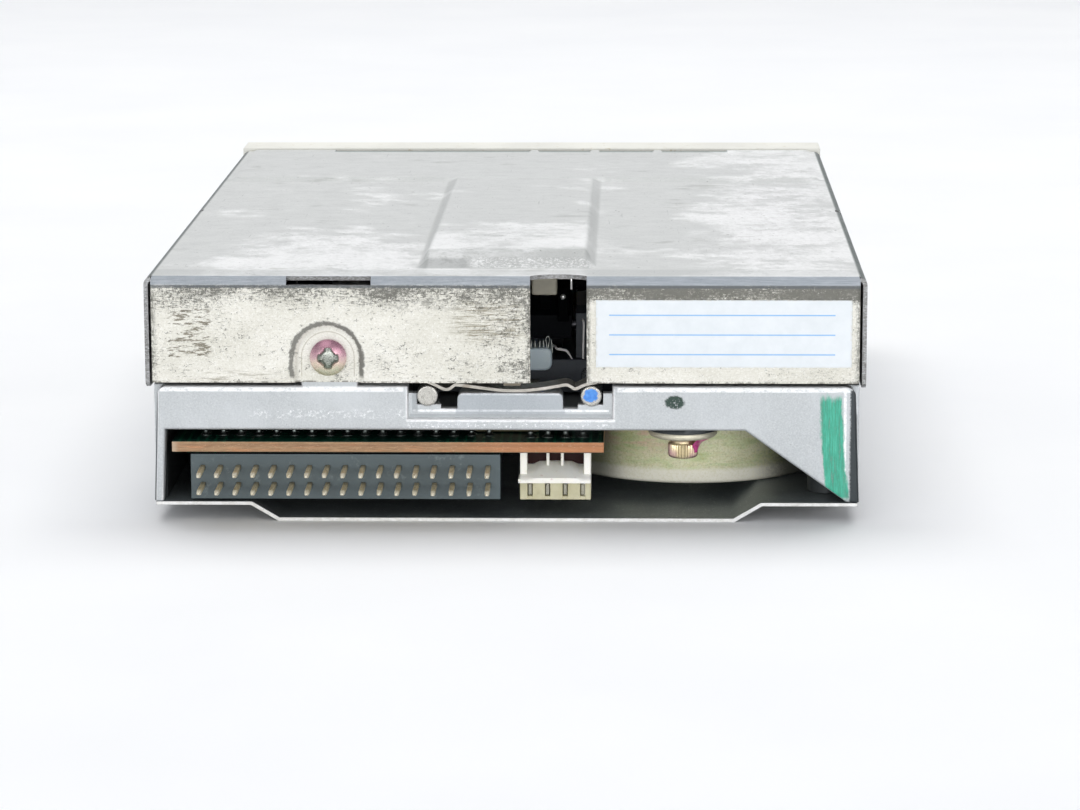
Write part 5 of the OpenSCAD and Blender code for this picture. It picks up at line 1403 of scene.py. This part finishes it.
def build_stepper():
    zb = 2.85
    p = [(0, 1.8 + .05), (2.3, 1.85), (2.45, 1.8), (4.7, 1.8)] + arc(4.7, 1.8, 5.0, 2.1, 3)[1:] + [(5.0, zb), (12.0, zb), (19.5, zb)]
    p += arc(19.5, zb, 20.4, zb + .7, 8)[1:]
    p += [(20.47, zb + 1.2), (20.5, zb + 2.0), (20.5, 6), (20.5, 9), (20.5, 11.9)] + arc(20.5, 11.9, 20.8, 12.2, 3, -1)[1:]
    p += [(21.1, 12.2), (21.3, 12.4), (21.3, 12.95), (21.1, 13.17), (8.0, 13.17), (7.5, 13.3), (7.5, 14.7), (7.2, 15.0), (4.2, 15.0), (4.0, 14.8), (4.0, 14.1), (1.7, 14.0), (1.58, 13.9), (1.58, 11.0), (0, 11.0)]
    vs, fs = lathe(p, (SC[0], SC[1], 0), 160)
    b = Bag().add(vs, fs)
    o = b.obj("stepper_can_spun", [M["passivated_steel"]], "chassis", "stepper_can", "passivated_steel", 40)
    # washers with a rounded lower edge, cut clear of the can
    b = Bag()
    for cx, cy in CLAMPS:
        prof = [(1.5, 11.32), (1.9, 11.2), (4.35, 11.2)] + arc(4.35, 11.2, 4.95, 11.75, 4)[1:] + [(4.95, 12.05), (4.85, 12.17), (1.5, 12.17), (1.5, 11.32)]
        vs, fs = lathe(prof, (cx, cy, 0), 72)
        lim = 20.5 + .16
        moved = []
        for x, y, z in vs:
            dx, dy = x - SC[0], y - SC[1]
            d = math.hypot(dx, dy)
            if d < lim and d > 1e-6:
                x, y = SC[0] + dx / d * lim, SC[1] + dy / d * lim
            moved.append((x, y, z))
        b.add(moved, fs)
    b.obj("clamp_washers", [M["washer"]], "chassis", "stepper_clamps", "passivated_steel", 40)
    # knurled heads with a coned neck
    b = Bag()
    n = 34
    for j, (cx, cy) in enumerate(CLAMPS):
        def ring(scale, z, knurl):
            out = []
            for k in range(n * 4):
                a = 2 * math.pi * k / (n * 4)
                r = 2.13 - (.13 * (.5 - .5 * math.cos(a * n)) if knurl else 0)
                out.append((cx + r * scale * math.cos(a), cy + r * scale * math.sin(a), z))
            return out
        rings = [ring(.55, 9.0, False), ring(.55, 8.3, False), ring(.62, 8.12, False), ring(.80, 8.06, False), ring(.93, 8.16, False), ring(.985, 8.34, True), ring(1.0, 8.5, True),
                 ring(1.0, 9.95, True), ring(.975, 10.1, True), ring(.90, 10.2, False), ring(.86, 10.45, False), ring(.92, 10.8, False), ring(1.12, 11.05, False), ring(1.2, 11.18, False)]
        m = n * 4
        vs = [p for r in rings for p in r]
        fs = []
        for i in range(len(rings) - 1):
            for k in range(m):
                k2 = (k + 1) % m
                fs.append((i * m + k, i * m + k2, (i + 1) * m + k2, (i + 1) * m + k))
        c = len(vs)
        vs += [(cx, cy, 9.0), (cx, cy, 11.18)]
        fs += [(k, c, (k + 1) % m) for k in range(m)]
        last = (len(rings) - 1) * m
        fs += [(last + (k + 1) % m, c + 1, last + k) for k in range(m)]
        b.add(vs, fs, 0)
        b.add(*threaded((cx, cy, 11.15), "z", 1, 1.15, 3.0), 0)
    b.obj("clamp_screws_knurled", [M["clamp_screw"]], "chassis", "stepper_clamp_screws", "yellow_zinc_screw", 55)
    # dab of locking paint that has run over the screw and washer
    cx, cy = CLAMPS[0]
    vs, fs = [], []
    nu, nv = 14, 12
    for i in range(nu + 1):
        for k in range(nv + 1):
            u, v = i / nu, k / nv
            half = 9 + 17 * smoothstep(0, .5, v)
            a = math.radians(147 + half * (2 * u - 1))
            r = 2.16 + .16 * math.sin(math.pi * u) + 1.9 * v * v + mnoise.noise(Vector((a * 3, v * 3, 3))) * .09
            z = 8.9 + 2.3 * v ** .8 + mnoise.noise(Vector((u * 2, v * 3, 8))) * .1
            vs.append((cx + r * math.cos(a), cy + r * math.sin(a), min(z, 11.15)))
    for i in range(nu):
        for k in range(nv):
            a = i * (nv + 1) + k
            fs.append((a, a + nv + 1, a + nv + 2, a + 1))
    o = mesh_obj("locking_paint", vs, fs, M["lock_paint"], "chassis", None)
    s = o.modifiers.new("thick", "SOLIDIFY")
    s.thickness = .14 * MM
    s.offset = 0
    ss = o.modifiers.new("smooth", "SUBSURF")
    ss.levels = ss.render_levels = 1
    apply_mods(o)


# ------------------------------------------------------------------ power connector
def box_v(a, b):
    x0, y0, z0 = a
    x1, y1, z1 = b
    vs = [(x0, y0, z0), (x1, y0, z0), (x1, y1, z0), (x0, y1, z0), (x0, y0, z1), (x1, y0, z1), (x1, y1, z1), (x0, y1, z1)]
    return vs, [(0, 3, 2, 1), (4, 5, 6, 7), (0, 1, 5, 4), (1, 2, 6, 5), (2, 3, 7, 6), (3, 0, 4, 7)]


def beveled(name, bag, r, seg, mats, body, replaces=None, angle=34, edge_angle=35):
    me = bpy.data.meshes.new(name)
    me.from_pydata([(x * MM, y * MM, z * MM) for x, y, z in bag.v], [], bag.f)
    me.polygons.foreach_set("material_index", bag.m)
    bm = bmesh.new()
    bm.from_mesh(me)
    bmesh.ops.remove_doubles(bm, verts=bm.verts, dist=1e-7)
    bmesh.ops.recalc_face_normals(bm, faces=bm.faces)
    es = [e for e in bm.edges if len(e.link_faces) == 2 and e.calc_face_angle(0) > math.radians(edge_angle)]
    bmesh.ops.bevel(bm, geom=es, offset=r * MM, offset_type="OFFSET", segments=seg, profile=.5, affect="EDGES", clamp_overlap=True)
    bm.to_mesh(me)
    bm.free()
    for m in mats:
        me.materials.append(m)
    me.polygons.foreach_set("use_smooth", [True] * len(me.polygons))
    me.set_sharp_from_angle(angle=math.radians(angle))
    o = link(bpy.data.objects.new(name, me))
    finish_piece(o, body, replaces)
    w = o.modifiers.new("shade", "WEIGHTED_NORMAL")
    w.keep_sharp = True
    return o


def build_power():
    x0, x1 = -12.05, -1.98
    mid = (x0 + x1) / 2
    yb = RY
    # side posts and lower housing with slotted front: built as a grid so that the slots are real
    b = Bag()
    b.add(*box_v((x0, yb - 8.5, 3.0), (x0 + 1.0, yb - 1.4, 9.86)))
    b.add(*box_v((x1 - 1.0, yb - 8.5, 3.0), (x1, yb - 1.4, 9.86)))
    b.add(*box_v((-6.12, yb - 6.2, 5.7), (-5.68, yb - 3.2, 9.86)))
    b.add(*box_v((-8.17, yb - 6.2, 5.7), (-7.73, yb - 3.2, 9.86)))
    # painted shade: a dark red-brown box behind the posts for the shade seen through the housing's windows
    w = Bag().add(*box_v((x0 + .9, yb - 8.2, 5.7), (x1 - .9, yb - 4.75, 9.8)))
    beveled("power_window_shade", w, .2, 2, [M["window_shade"]], "chassis", None)
    o1 = beveled("power_posts", b, .12, 2, [M["white_nylon"]], "chassis", None)
    cuts = sorted(-3.4 - 2.5 * i for i in range(4))
    b = Bag()
    edges = [x0]
    for c in cuts:
        edges += [c - .36, c + .36]
    edges.append(x1)
    for i in range(0, len(edges), 2):
        b.add(*box_v((edges[i], yb - 6.2, 3.0), (edges[i + 1], yb - .9, 5.62)))
    for c in cuts:
        b.add(*box_v((c - .40, yb - 6.2, 3.0), (c + .40, yb - .93, 3.5)))
    b.add(*box_v((x0 + .02, yb - 8.4, 3.02), (x1 - .02, yb - 6.1, 5.6)))
    o2 = beveled("power_housing", b, .07, 1, [M["aged_nylon"]], "chassis", None)
    # sloping tongue with an arched upper edge and a ledge
    nu, nv = 40, 12
    vs, fs = [], []

    def top_edge(u):
        s = abs(u - .5) * 2
        return 7.42 + .42 * (1 - smoothstep(.42, .66, s))

    for k in range(nv + 1):
        v = k / nv
        for i in range(nu + 1):
            u = i / nu
            x = x0 + .0 + (x1 - x0) * u
            s = abs(u - .5) * 2
            # a wide flat arch stands slightly proud of the slope
            arch = (1 - smoothstep(.34, .44, math.hypot(s * .62, max(0, (v - .35)) * .55)))
            if v <= .12:
                y, z = yb + .18, 5.6 + (6.22 - 5.6) * (v / .12)
            else:
                w = (v - .12) / .88
                z = 6.22 + (top_edge(u) - 6.22) * w
                y = yb + .18 - 4.8 * w
                y += .22 * arch * (1 - smoothstep(.75, 1, w))
                z += .05 * arch
            vs.append((x, y, z))
    for k in range(nv):
        for i in range(nu):
            a = k * (nu + 1) + i
            fs.append((a, a + 1, a + nu + 2, a + nu + 1))
    # close underneath and behind
    n0 = len(vs)
    for i in range(nu + 1):
        u = i / nu
        vs.append((x0 + (x1 - x0) * u, yb - 6.9, top_edge(u)))
    for i in range(nu + 1):
        u = i / nu
        vs.append((x0 + (x1 - x0) * u, yb - 6.9, 5.6))
    top = nv * (nu + 1)
    for i in range(nu):
        fs.append((top + i, top + i + 1, n0 + i + 1, n0 + i))
        fs.append((n0 + i, n0 + i + 1, n0 + nu + 2 + i, n0 + nu + 1 + i))
        fs.append((n0 + nu + 1 + i, n0 + nu + 2 + i, i + 1, i))
    col0 = [k * (nu + 1) for k in range(nv + 1)] + [n0, n0 + nu + 1]
    col1 = [k * (nu + 1) + nu for k in range(nv + 1)] + [n0 + nu, n0 + 2 * nu + 1]
    fs.append(tuple(col0))
    fs.append(tuple(reversed(col1)))
    b = Bag().add(vs, fs)
    b.add(*box_v((x1 - .1, yb - 3, 5.62), (x1 + .22, yb + .12, 6.2)))
    b.obj("power_tongue", [M["white_nylon"]], "chassis", "power_connector", "white_nylon", 42)
    # contacts: folded strips in the slots, posts up through the board
    b = Bag()
    for c in cuts:
        b.add(*box_v((c - .28, yb - 5.4, 3.56), (c + .28, yb - 1.35, 3.74)))
        b.add(*box_v((c - .28, yb - 1.5, 3.6), (c + .28, yb - 1.32, 5.2)))
        b.add(*box_v((c - .28, yb - 5.4, 4.9), (c + .28, yb - 1.35, 5.08)))
        b.add(*box_v((c - .3, yb - 6.0, 4.4), (c + .3, yb - 5.3, 9.88)))
    beveled("power_contact_strips", b, .06, 1, [M["tinned_contacts"]], "chassis", "power_contacts")


# ------------------------------------------------------------------ header pins, solder
def build_pins():
    b = Bag()
    rng = random.Random(4)
    for i in range(17):
        x = 2.53 + 2.54 * i
        for k, z in enumerate((5.2, 7.7)):
            yb = RY - (7.74 if k == 0 else 5.2)
            dz, dx = rng.uniform(-.035, .035), rng.uniform(-.04, .04)
            s = .32
            secs = []

            def sq(y, zz, h, xx=0.0, c=.09):
                c = min(c, h * .45)
                return [(x + xx + px, y, zz + pz) for px, pz in ((-h + c, -h), (h - c, -h), (h, -h + c), (h, h - c), (h - c, h), (-h + c, h), (-h, h - c), (-h, -h + c))]
            for y, h in ((RY - 4.0, s), (RY + .3, s), (RY + 5.15, s), (RY + 5.5, s * .93), (RY + 5.85, s * .72), (RY + 6.08, s * .46), (RY + 6.18, s * .2)):
                t = max(0, (y - RY) / 6)
                secs.append(sq(y, z + dz * t, h, dx * t))
            vs = [p for q in secs for p in q]
            fs = []
            for a in range(len(secs) - 1):
                for e in range(8):
                    e2 = (e + 1) % 8
                    fs.append((a * 8 + e, a * 8 + e2, (a + 1) * 8 + e2, (a + 1) * 8 + e))
            fs.append(tuple(range(8)))
            fs.append(tuple(reversed(range((len(secs) - 1) * 8, len(secs) * 8))))
            b.add(vs, fs, 0)
            b.add(*box_v((x - .3, yb - .3, z - .3), (x + .3, RY - 3.9, z + .3)), 0)
            b.add(*box_v((x - .3, yb - .3, z), (x + .3, yb + .3, 9.88)), 0)
    b.obj("header_pins", [M["gold_contacts"]], "chassis", "interface_pins", "gold_contacts", 30)
    b = Bag()
    rng = random.Random(8)
    for i in range(17):
        for y in (RY - 5.2, RY - 7.74):
            r = .86 * rng.uniform(.94, 1.06)
            h = rng.uniform(.62, .82)
            prof = [(0, 0), (r, 0), (r, .04), (r * .74, .14), (r * .52, .32), (r * .44, .50), (r * .42, h - .06), (r * .3, h), (0, h + .01)]
            b.add(*lathe(prof, (2.53 + 2.54 * i, y, 11.51), 20))
    for i in range(4):
        r, h = .9, rng.uniform(.7, .85)
        prof = [(0, 0), (r, 0), (r, .05), (r * .74, .16), (r * .52, .36), (r * .44, .56), (r * .42, h - .06), (r * .3, h), (0, h + .01)]
        b.add(*lathe(prof, (-3.4 - 2.5 * i, RY - 4.2, 11.51), 20))
    b.obj("solder_cones", [M["solder"]], "chassis", "solder_joints", "solder", 40)


# ------------------------------------------------------------------ rod spring, wires
def ribbon(points, y0, y1, t, seg=1):
    """strip of thickness t along (x, z) points, from y0 to y1"""
    P = [Vector((p[0], 0, p[1])) for p in points]
    vs, fs = [], []
    n = len(P)
    for i in range(n):
        a = P[max(0, i - 1)]
        c = P[min(n - 1, i + 1)]
        d = (c - a).normalized()
        nrm = Vector((-d.z, 0, d.x))
        up, dn = P[i] + nrm * t / 2, P[i] - nrm * t / 2
        for q, y in ((up, y0), (up, y1), (dn, y1), (dn, y0)):
            vs.append((q.x, y, q.z))
    for i in range(n - 1):
        for k in range(4):
            k2 = (k + 1) % 4
            fs.append((i * 4 + k, i * 4 + k2, (i + 1) * 4 + k2, (i + 1) * 4 + k))
    fs.append((3, 2, 1, 0))
    fs.append(tuple((n - 1) * 4 + k for k in range(4)))
    return vs, fs


def spline(points, per=8):
    out = []
    P = [Vector(p) for p in points]
    for i in range(len(P) - 1):
        p0, p1, p2, p3 = P[max(0, i - 1)], P[i], P[i + 1], P[min(len(P) - 1, i + 2)]
        for k in range(per):
            t = k / per
            out.append(.5 * ((2 * p1) + (p2 - p0) * t + (2 * p0 - 5 * p1 + 4 * p2 - p3) * t * t + (3 * p1 - p0 - 3 * p2 + p3) * t ** 3))
    out.append(P[-1])
    return [tuple(p) for p in out]


def build_rod_spring():
    z = 18.1 + 1.5 + .22
    p = [(11.9, z + .75), (11.2, z + .42), (10.4, z + .08), (9.7, z - .22), (9.1, z - .55), (8.5, z - .74), (7.9, z - .62), (7.4, z - .25), (7.0, z - .08), (5.5, z - .25), (3.4, z - .52),
         (1.2, z - .80), (-1, z - .92), (-3.2, z - .84), (-5.4, z - .58), (-7.6, z - .20), (-8.6, z - .06), (-9.2, z - .28), (-9.7, z - .60), (-10.2, z - .52), (-10.8, z - .22), (-11.6, z + .06), (-12.9, z + .32)]
    pts = [(q[0], q[2]) for q in spline([(a, 0, b) for a, b in p], 5)]
    vs, fs = ribbon(pts, RY - 4.4, RY - .15, .42)
    b = Bag().add(vs, fs)
    b.obj("rod_spring_strip", [M["spring_strip"]], "chassis", "rod_clamp_spring", "spring_steel", 45)


def build_wires():
    """thin head leads standing out of their clip, and a bent lead beside them"""
    b = Bag()
    rng = random.Random(2)
    for i in range(6):
        x = -6.3 + .62 * i
        h = rng.uniform(.9, 1.35)
        dx = rng.uniform(-.12, .12)
        h *= .82
        pts = [(x, 56.4, 21.7), (x, 56.42, 22.3), (x + dx * .4, 56.38, 22.2 + h * .6), (x + dx, 56.2, 22.2 + h), (x + dx * 1.3, 55.95, 22.25 + h * 1.12)]
        b.add(*tube(spline(pts, 6), .07, 8))
    pts = [(-5.4, 56.4, 22.1), (-5.5, 56.5, 22.9), (-5.35, 56.6, 23.7), (-5.7, 56.5, 24.1), (-5.9, 56.1, 23.6), (-5.8, 55.2, 23.0)]
    b.add(*tube(spline(pts, 8), .05, 8))
    b.obj("head_leads", [M["lead_wire"]], "head_carriage", None, "clip_plastic", 60)
    b = Bag()
    pts = [(-6.2, 50.5, 21.6), (-6.6, 53.5, 22.2), (-6.95, 55.4, 22.1), (-7.6, 55.6, 22.02), (-8.3, 55.6, 21.86), (-8.75, 55.55, 21.3), (-9.2, 55.5, 20.5), (-9.66, 55.4, 19.6)]
    b.add(*tube(spline(pts, 8), lambda s: .19 - .07 * smoothstep(.55, .8, s), 10))
    b.obj("bent_lead", [M["bright_wire"]], "head_carriage", None, "spring_steel", 60)
# ------------------------------------------------------------------ springs and coils
def build_springs():
    # the two long return springs of the slider, built as plain coils not attached to any body; on the drive the front
    # end stays and the rear end follows the slider
    for s in (-1, 1):
        vs, fs = helix((41.3 * s, 0, 17.9), "y", .95, -45.6, 5.9, 34, .24, 14)
        o = Bag().add(vs, fs).obj(f"return_spring_{'a' if s < 0 else 'b'}", [M["spring_steel"]], None, "eject_springs", "spring_steel", 60)
        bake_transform(o)
    # load spring of the head arm: a coil and its long leg
    def up(p):
        a = math.radians(9)
        y, z = p[1] - 51, p[2] - 25
        return (p[0], 51 + y * math.cos(a) + z * math.sin(a), 25 - y * math.sin(a) + z * math.cos(a))

    vs, fs = helix((0, 52.2, 28.2), "x", 1.0, -.25, 4.05, 6.5, .3, 20)
    leg = [(3.9, 52.2, 29.2), (3.85, 50.5, 29.12), (3.82, 46, 29.0), (3.8, 40, 28.95), (3.8, 36, 28.92)]
    v2, f2 = tube(spline(leg, 4), .26, 10)
    b = Bag().add([up(p) for p in vs], fs).add([up(p) for p in v2], f2)
    b.obj("arm_spring_coil", [M["spring_steel"]], "upper_head_arm", "arm_load_spring", "spring_steel", 60)
    # door spring: a short coil on the door's hinge line
    vs, fs = helix((0, -70.7, 29.0), "x", .95, -47.35, -46.65, 3.4, .1, 20)
    Bag().add(vs, fs).obj("door_coil", [M["spring_steel"]], "chassis", "door_spring", "spring_steel", 60)
    # shutter lever spring: flat coil round the rivet with two legs
    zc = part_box("shutter_lever_spring")[0][2] * 1000
    vs, fs = helix((39, 15, 0), "z", 2.05, zc + .2, zc + 1.15, 4.2, .17, 22)
    Bag().add(vs, fs).obj("lever_coil", [M["spring_steel"]], "disk_holder", "shutter_lever_spring", "spring_steel", 60)


# ------------------------------------------------------------------ flat cable of the heads
def build_flex():
    p = [(56.05, 17.69), (57.5, 17.74), (60, 17.79), (61.8, 17.66), (63.2, 17.28), (64.2, 16.5), (64.72, 15.6), (64.95, 14.6), (65.0, 13.6), (64.9, 12.6), (64.7, 11.75)]
    pts = [(0, a, b) for a, b in p]
    pts = spline(pts, 4)
    n, w = len(pts), 18
    vs, fs = [], []
    for i, q in enumerate(pts):
        a, c = Vector(pts[max(0, i - 1)]), Vector(pts[min(n - 1, i + 1)])
        d = (c - a).normalized()
        nr = Vector((0, -d.z, d.y))
        for k in range(w + 1):
            x = -4.5 + 9.0 * k / w
            vs.append((x, q[1] + nr.y * .09, q[2] + nr.z * .09))
        for k in range(w, -1, -1):
            x = -4.5 + 9.0 * k / w
            vs.append((x, q[1] - nr.y * .09, q[2] - nr.z * .09))
    m = 2 * (w + 1)
    for i in range(n - 1):
        for k in range(m):
            k2 = (k + 1) % m
            fs.append((i * m + k, (i + 1) * m + k, (i + 1) * m + k2, i * m + k2))
    fs.append(tuple(range(m)))
    fs.append(tuple((n - 1) * m + k for k in reversed(range(m))))
    o = Bag().add(vs, fs).obj("flat_cable", [M["flex_film"]], None, "head_flex", "flex_film", 40)
    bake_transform(o)


# ------------------------------------------------------------------ what shows through the opening
def build_inside():
    # terminal block with leads on the rear end of the arm, under the opening's upper edge
    b = Bag()
    b.add(*box_v((-6.97, 50.6, 29.95), (-3.3, 55.4, 32.6)))
    s = Bag().add(*box_v((-5.9, 50.9, 26.3), (-4.3, 51.9, 30.3)))
    beveled("arm_terminal_stem", s, .2, 2, [M["near_black"]], "upper_head_arm", None)
    beveled("arm_terminal", b, .3, 3, [M["terminal"]], "upper_head_arm", None)
    b = Bag()
    b.add(*box_v((-9.26, 54.6, 30.7), (-8.86, 55.0, 32.6)))
    b.add(*box_v((-9.0, 52.0, 32.2), (-6.8, 54.8, 32.5)))
    beveled("arm_terminal_tag", b, .1, 2, [M["spring_steel"]], "upper_head_arm", None)
    # bright rivet
    b = Bag()
    b.add(*box_v((-8.7, 51.9, 25.9), (-7.0, 54.75, 26.9)))
    b.add(*box_v((-8.5, 54.2, 26.5), (-7.2, 54.8, 30.1)))
    beveled("arm_rivet_lug", b, .2, 2, [M["near_black"]], "upper_head_arm", None)
    vs, fs = lathe([(0, 0), (.46, 0), (.46, .1), (.38, .24), (.2, .32), (0, .34)], (-7.85, 54.75, 29.62), 24, "y")
    Bag().add(vs, fs).obj("arm_rivet", [M["spring_steel"]], "upper_head_arm", None, "spring_steel", 50)
    # upright wire on the carriage's side
    vs, fs = tube(spline([(-10.75, 55.3, 20.3), (-10.78, 55.3, 22), (-10.82, 55.3, 24), (-10.86, 55.25, 25.6), (-10.8, 54.8, 26.1), (-10.5, 54.0, 26.3)], 5), .155, 10)
    Bag().add(vs, fs).obj("carriage_wire", [M["bright_wire"]], "head_carriage", None, "spring_steel", 60)


def build_header_rail():
    """the moulded rail that closes the header's rear top edge just under the board"""
    b = Bag().add(*box_v((.83, RY - 1.5, 9.1), (44.87, RY - .36, 9.62)))
    beveled("header_rail", b, .05, 2, [M["header_plastic"]], "chassis", "interface_header")
    # painted shade: a near-black strip between header and board for the shaded gap
    b = Bag().add(*box_v((.95, RY - 3.4, 9.55), (44.75, RY - .46, 9.86)))
    beveled("header_shadow_strip", b, .04, 1, [M["near_black"]], "chassis", "interface_header")


def build_clip():
    """grey soft block that grips the leads, with a rounded end"""
    b = Bag().add(*box_v((-6.1, 46.9, 20.63), (1.0, 56.3, 22.2)))
    beveled("lead_clip", b, .3, 3, [M["clip_plastic"]], "head_carriage", "head_lead_clip")
    x0, x1, z0, z1 = -6.28, 1.3, 19.2, 22.5
    prof = []
    for cx, cz, r, a0 in ((x1 - .6, z1 - .6, .6, 0), (x0 + .8, z1 - .8, .8, 90), (x0 + 1.05, z0 + 1.05, 1.05, 180), (x1 - .6, z0 + .6, .6, 270)):
        for k in range(7):
            a = math.radians(a0 + 15 * k)
            prof.append((cx + r * math.cos(a), cz + r * math.sin(a)))
    rings = ((56.02, .25), (56.1, .06), (56.25, 0), (57.0, 0), (57.22, .07), (57.34, .24), (57.36, .5))
    vs, fs, n = [], [], len(prof)
    mx_, mz_ = (x0 + x1) / 2, (z0 + z1) / 2
    for y, inset in rings:
        sx, sz = 1 - inset / ((x1 - x0) / 2), 1 - inset / ((z1 - z0) / 2)
        vs += [(mx_ + (px - mx_) * sx, y, mz_ + (pz - mz_) * sz) for px, pz in prof]
    for i in range(len(rings) - 1):
        for k in range(n):
            k2 = (k + 1) % n
            fs.append((i * n + k, i * n + k2, (i + 1) * n + k2, (i + 1) * n + k))
    fs.append(tuple(range(n)))
    fs.append(tuple((len(rings) - 1) * n + k for k in reversed(range(n))))
    Bag().add(vs, fs).obj("lead_clip_end", [M["clip_plastic"]], "head_carriage", None, "clip_plastic", 50)


# ------------------------------------------------------------------ softened copies
SOFT = {
    "interface_header": (.14, 2), "front_bezel": (.35, 3), "dust_door": (.22, 2), "eject_button": (.45, 3), "rear_label": (.04, 1),
    "activity_lens": (.2, 2), "bottom_shield": (.05, 1), "board_chips": (.16, 2), "logic_board": (.08, 1), "head_carriage": (.3, 2),
    "upper_head_arm": (.35, 2), "upper_head": (.08, 2), "lower_head": (.08, 2), "slider_plate": (.12, 2), "disk_holder": (.12, 2),
    "shutter_lever": (.14, 2), "track_zero_sensor": (.2, 2), "protect_switch": (.2, 2), "disk_switch": (.2, 2), "disk_hub": (.15, 2),
    "spindle_rotor": (.25, 3), "spindle_board": (.06, 1), "drive_pin": (.15, 2), "spindle_bearing": (.15, 2), "guide_rods": (.25, 3),
    "capstan": (.12, 2), "stepper_shaft": (.15, 2), "spindle_shaft": (.2, 2), "hub_magnet": (.1, 1), "rotor_magnet": (.1, 1),
    "stator_core": (.06, 1), "stator_coils": (.16, 2), "board_capacitors": (.3, 3), "holder_pins": (.12, 2), "arm_pivot_pin": (.14, 2),
    "shutter_lever_rivet": (.18, 2), "protect_plunger": (.3, 3), "disk_plunger": (.3, 3),
}


def soften_all():
    for node, (r, seg) in SOFT.items():
        soften(node, r, seg)


build_header_rail()
build_chassis()
build_screws()
build_stepper()
build_power()
build_pins()
build_rod_spring()
build_wires()
build_springs()
build_flex()
build_inside()
build_clip()
soften_all()
# ------------------------------------------------------------------ stage, light, camera
def build_stage():
    m = Mat("studio_paper")
    f = m.noise(m.vec(.02), 3, .5)
    col = m.ramp(f, [(.3, (.93, .935, .945)), (.7, (.965, .968, .972))])
    m.p(color=col, rough=.75, normal=m.bump(m.noise(m.vec(1.5), 3), .01, .2))
    # floor that curves up into a wall behind the object, seen from the camera
    prof = []
    for k in range(0, 13):
        a = math.pi / 2 * k / 12
        prof.append((-2.2 - 1.0 * math.sin(a), 1.0 - 1.0 * math.cos(a)))
    prof = [(4.0, 0.0), (0.6, 0.0), (-0.4, 0.0), (-1.6, 0.0)] + prof + [(-3.2, 4.5)]
    vs, fs = [], []
    for i, (y, z) in enumerate(prof):
        for x in (-5, -1, 1, 5):
            vs.append((x * 1000, y * 1000, z * 1000))
        if i:
            for k in range(3):
                a = (i - 1) * 4 + k
                fs.append((a, a + 4, a + 5, a + 1))
    o = mesh_obj("floor", vs, fs, m.m, body=None)


def area(name, loc, target, size, power, size_y=None, color=(1, 1, 1)):
    d = bpy.data.lights.new(name, "AREA")
    d.energy = power
    d.color = color
    d.size = size
    if size_y:
        d.shape = "RECTANGLE"
        d.size_y = size_y
    o = link(bpy.data.objects.new(name, d))
    o.location = loc
    v = Vector(target) - Vector(loc)
    o.rotation_euler = v.to_track_quat("-Z", "Y").to_euler()
    return o


def build_lights():
    """soft even studio light: bright low horizon, dimmer overhead"""
    sc = bpy.context.scene
    sc.view_settings.view_transform = "Standard"
    sc.view_settings.look = "None"
    w = bpy.data.worlds.new("studio")
    sc.world = w
    w.use_nodes = True
    nt = w.node_tree
    bg = nt.nodes.get("Background") or nt.nodes.new("ShaderNodeBackground")
    tc = nt.nodes.new("ShaderNodeTexCoord")
    sp = nt.nodes.new("ShaderNodeSeparateXYZ")
    nt.links.new(tc.outputs["Generated"], sp.inputs[0])
    rp = nt.nodes.new("ShaderNodeValToRGB")
    e = rp.color_ramp.elements
    e[0].position, e[0].color = 0.0, (1.46, 1.47, 1.49, 1)
    e[1].position, e[1].color = 1.0, (.42, .43, .46, 1)
    q = e.new(.15)
    q.color = (1.26, 1.28, 1.31, 1)
    q = e.new(.42)
    q.color = (.66, .68, .71, 1)
    nt.links.new(sp.outputs[2], rp.inputs[0])
    nt.links.new(rp.outputs[0], bg.inputs[0])
    bg.inputs[1].default_value = .565
    area("key", (.35, .95, 1.15), (0, .05, .02), 1.0, 2.6, .9)
    area("fill", (-.6, 1.0, .35), (0, .06, .01), .7, 1.6, .5)
    area("front", (.05, 1.35, .16), (0, .07, .012), 1.3, 4.6, .22)
    over = area("over", (0, -.45, 1.4), (0, 0, .03), 1.6, 16.7, 1.0)
    over.visible_glossy = False


def build_camera():
    c = bpy.data.cameras.new("camera")
    c.lens = 127.138
    c.sensor_width = 36
    c.clip_start = .02
    c.clip_end = 50
    o = link(bpy.data.objects.new("camera", c))
    psi, phi = math.radians(1.43005), math.radians(11.03701)
    d = Vector((math.sin(psi) * math.cos(phi), -math.cos(psi) * math.cos(phi), -math.sin(phi)))
    o.location = (-18.087 * MM, 600.913 * MM, 120.190 * MM)
    q = d.to_track_quat("-Z", "Y") @ Quaternion((0, 0, 1), math.radians(-.14595))
    o.rotation_euler = q.to_euler()
    bpy.context.scene.camera = o


build_stage()
build_lights()
build_camera()
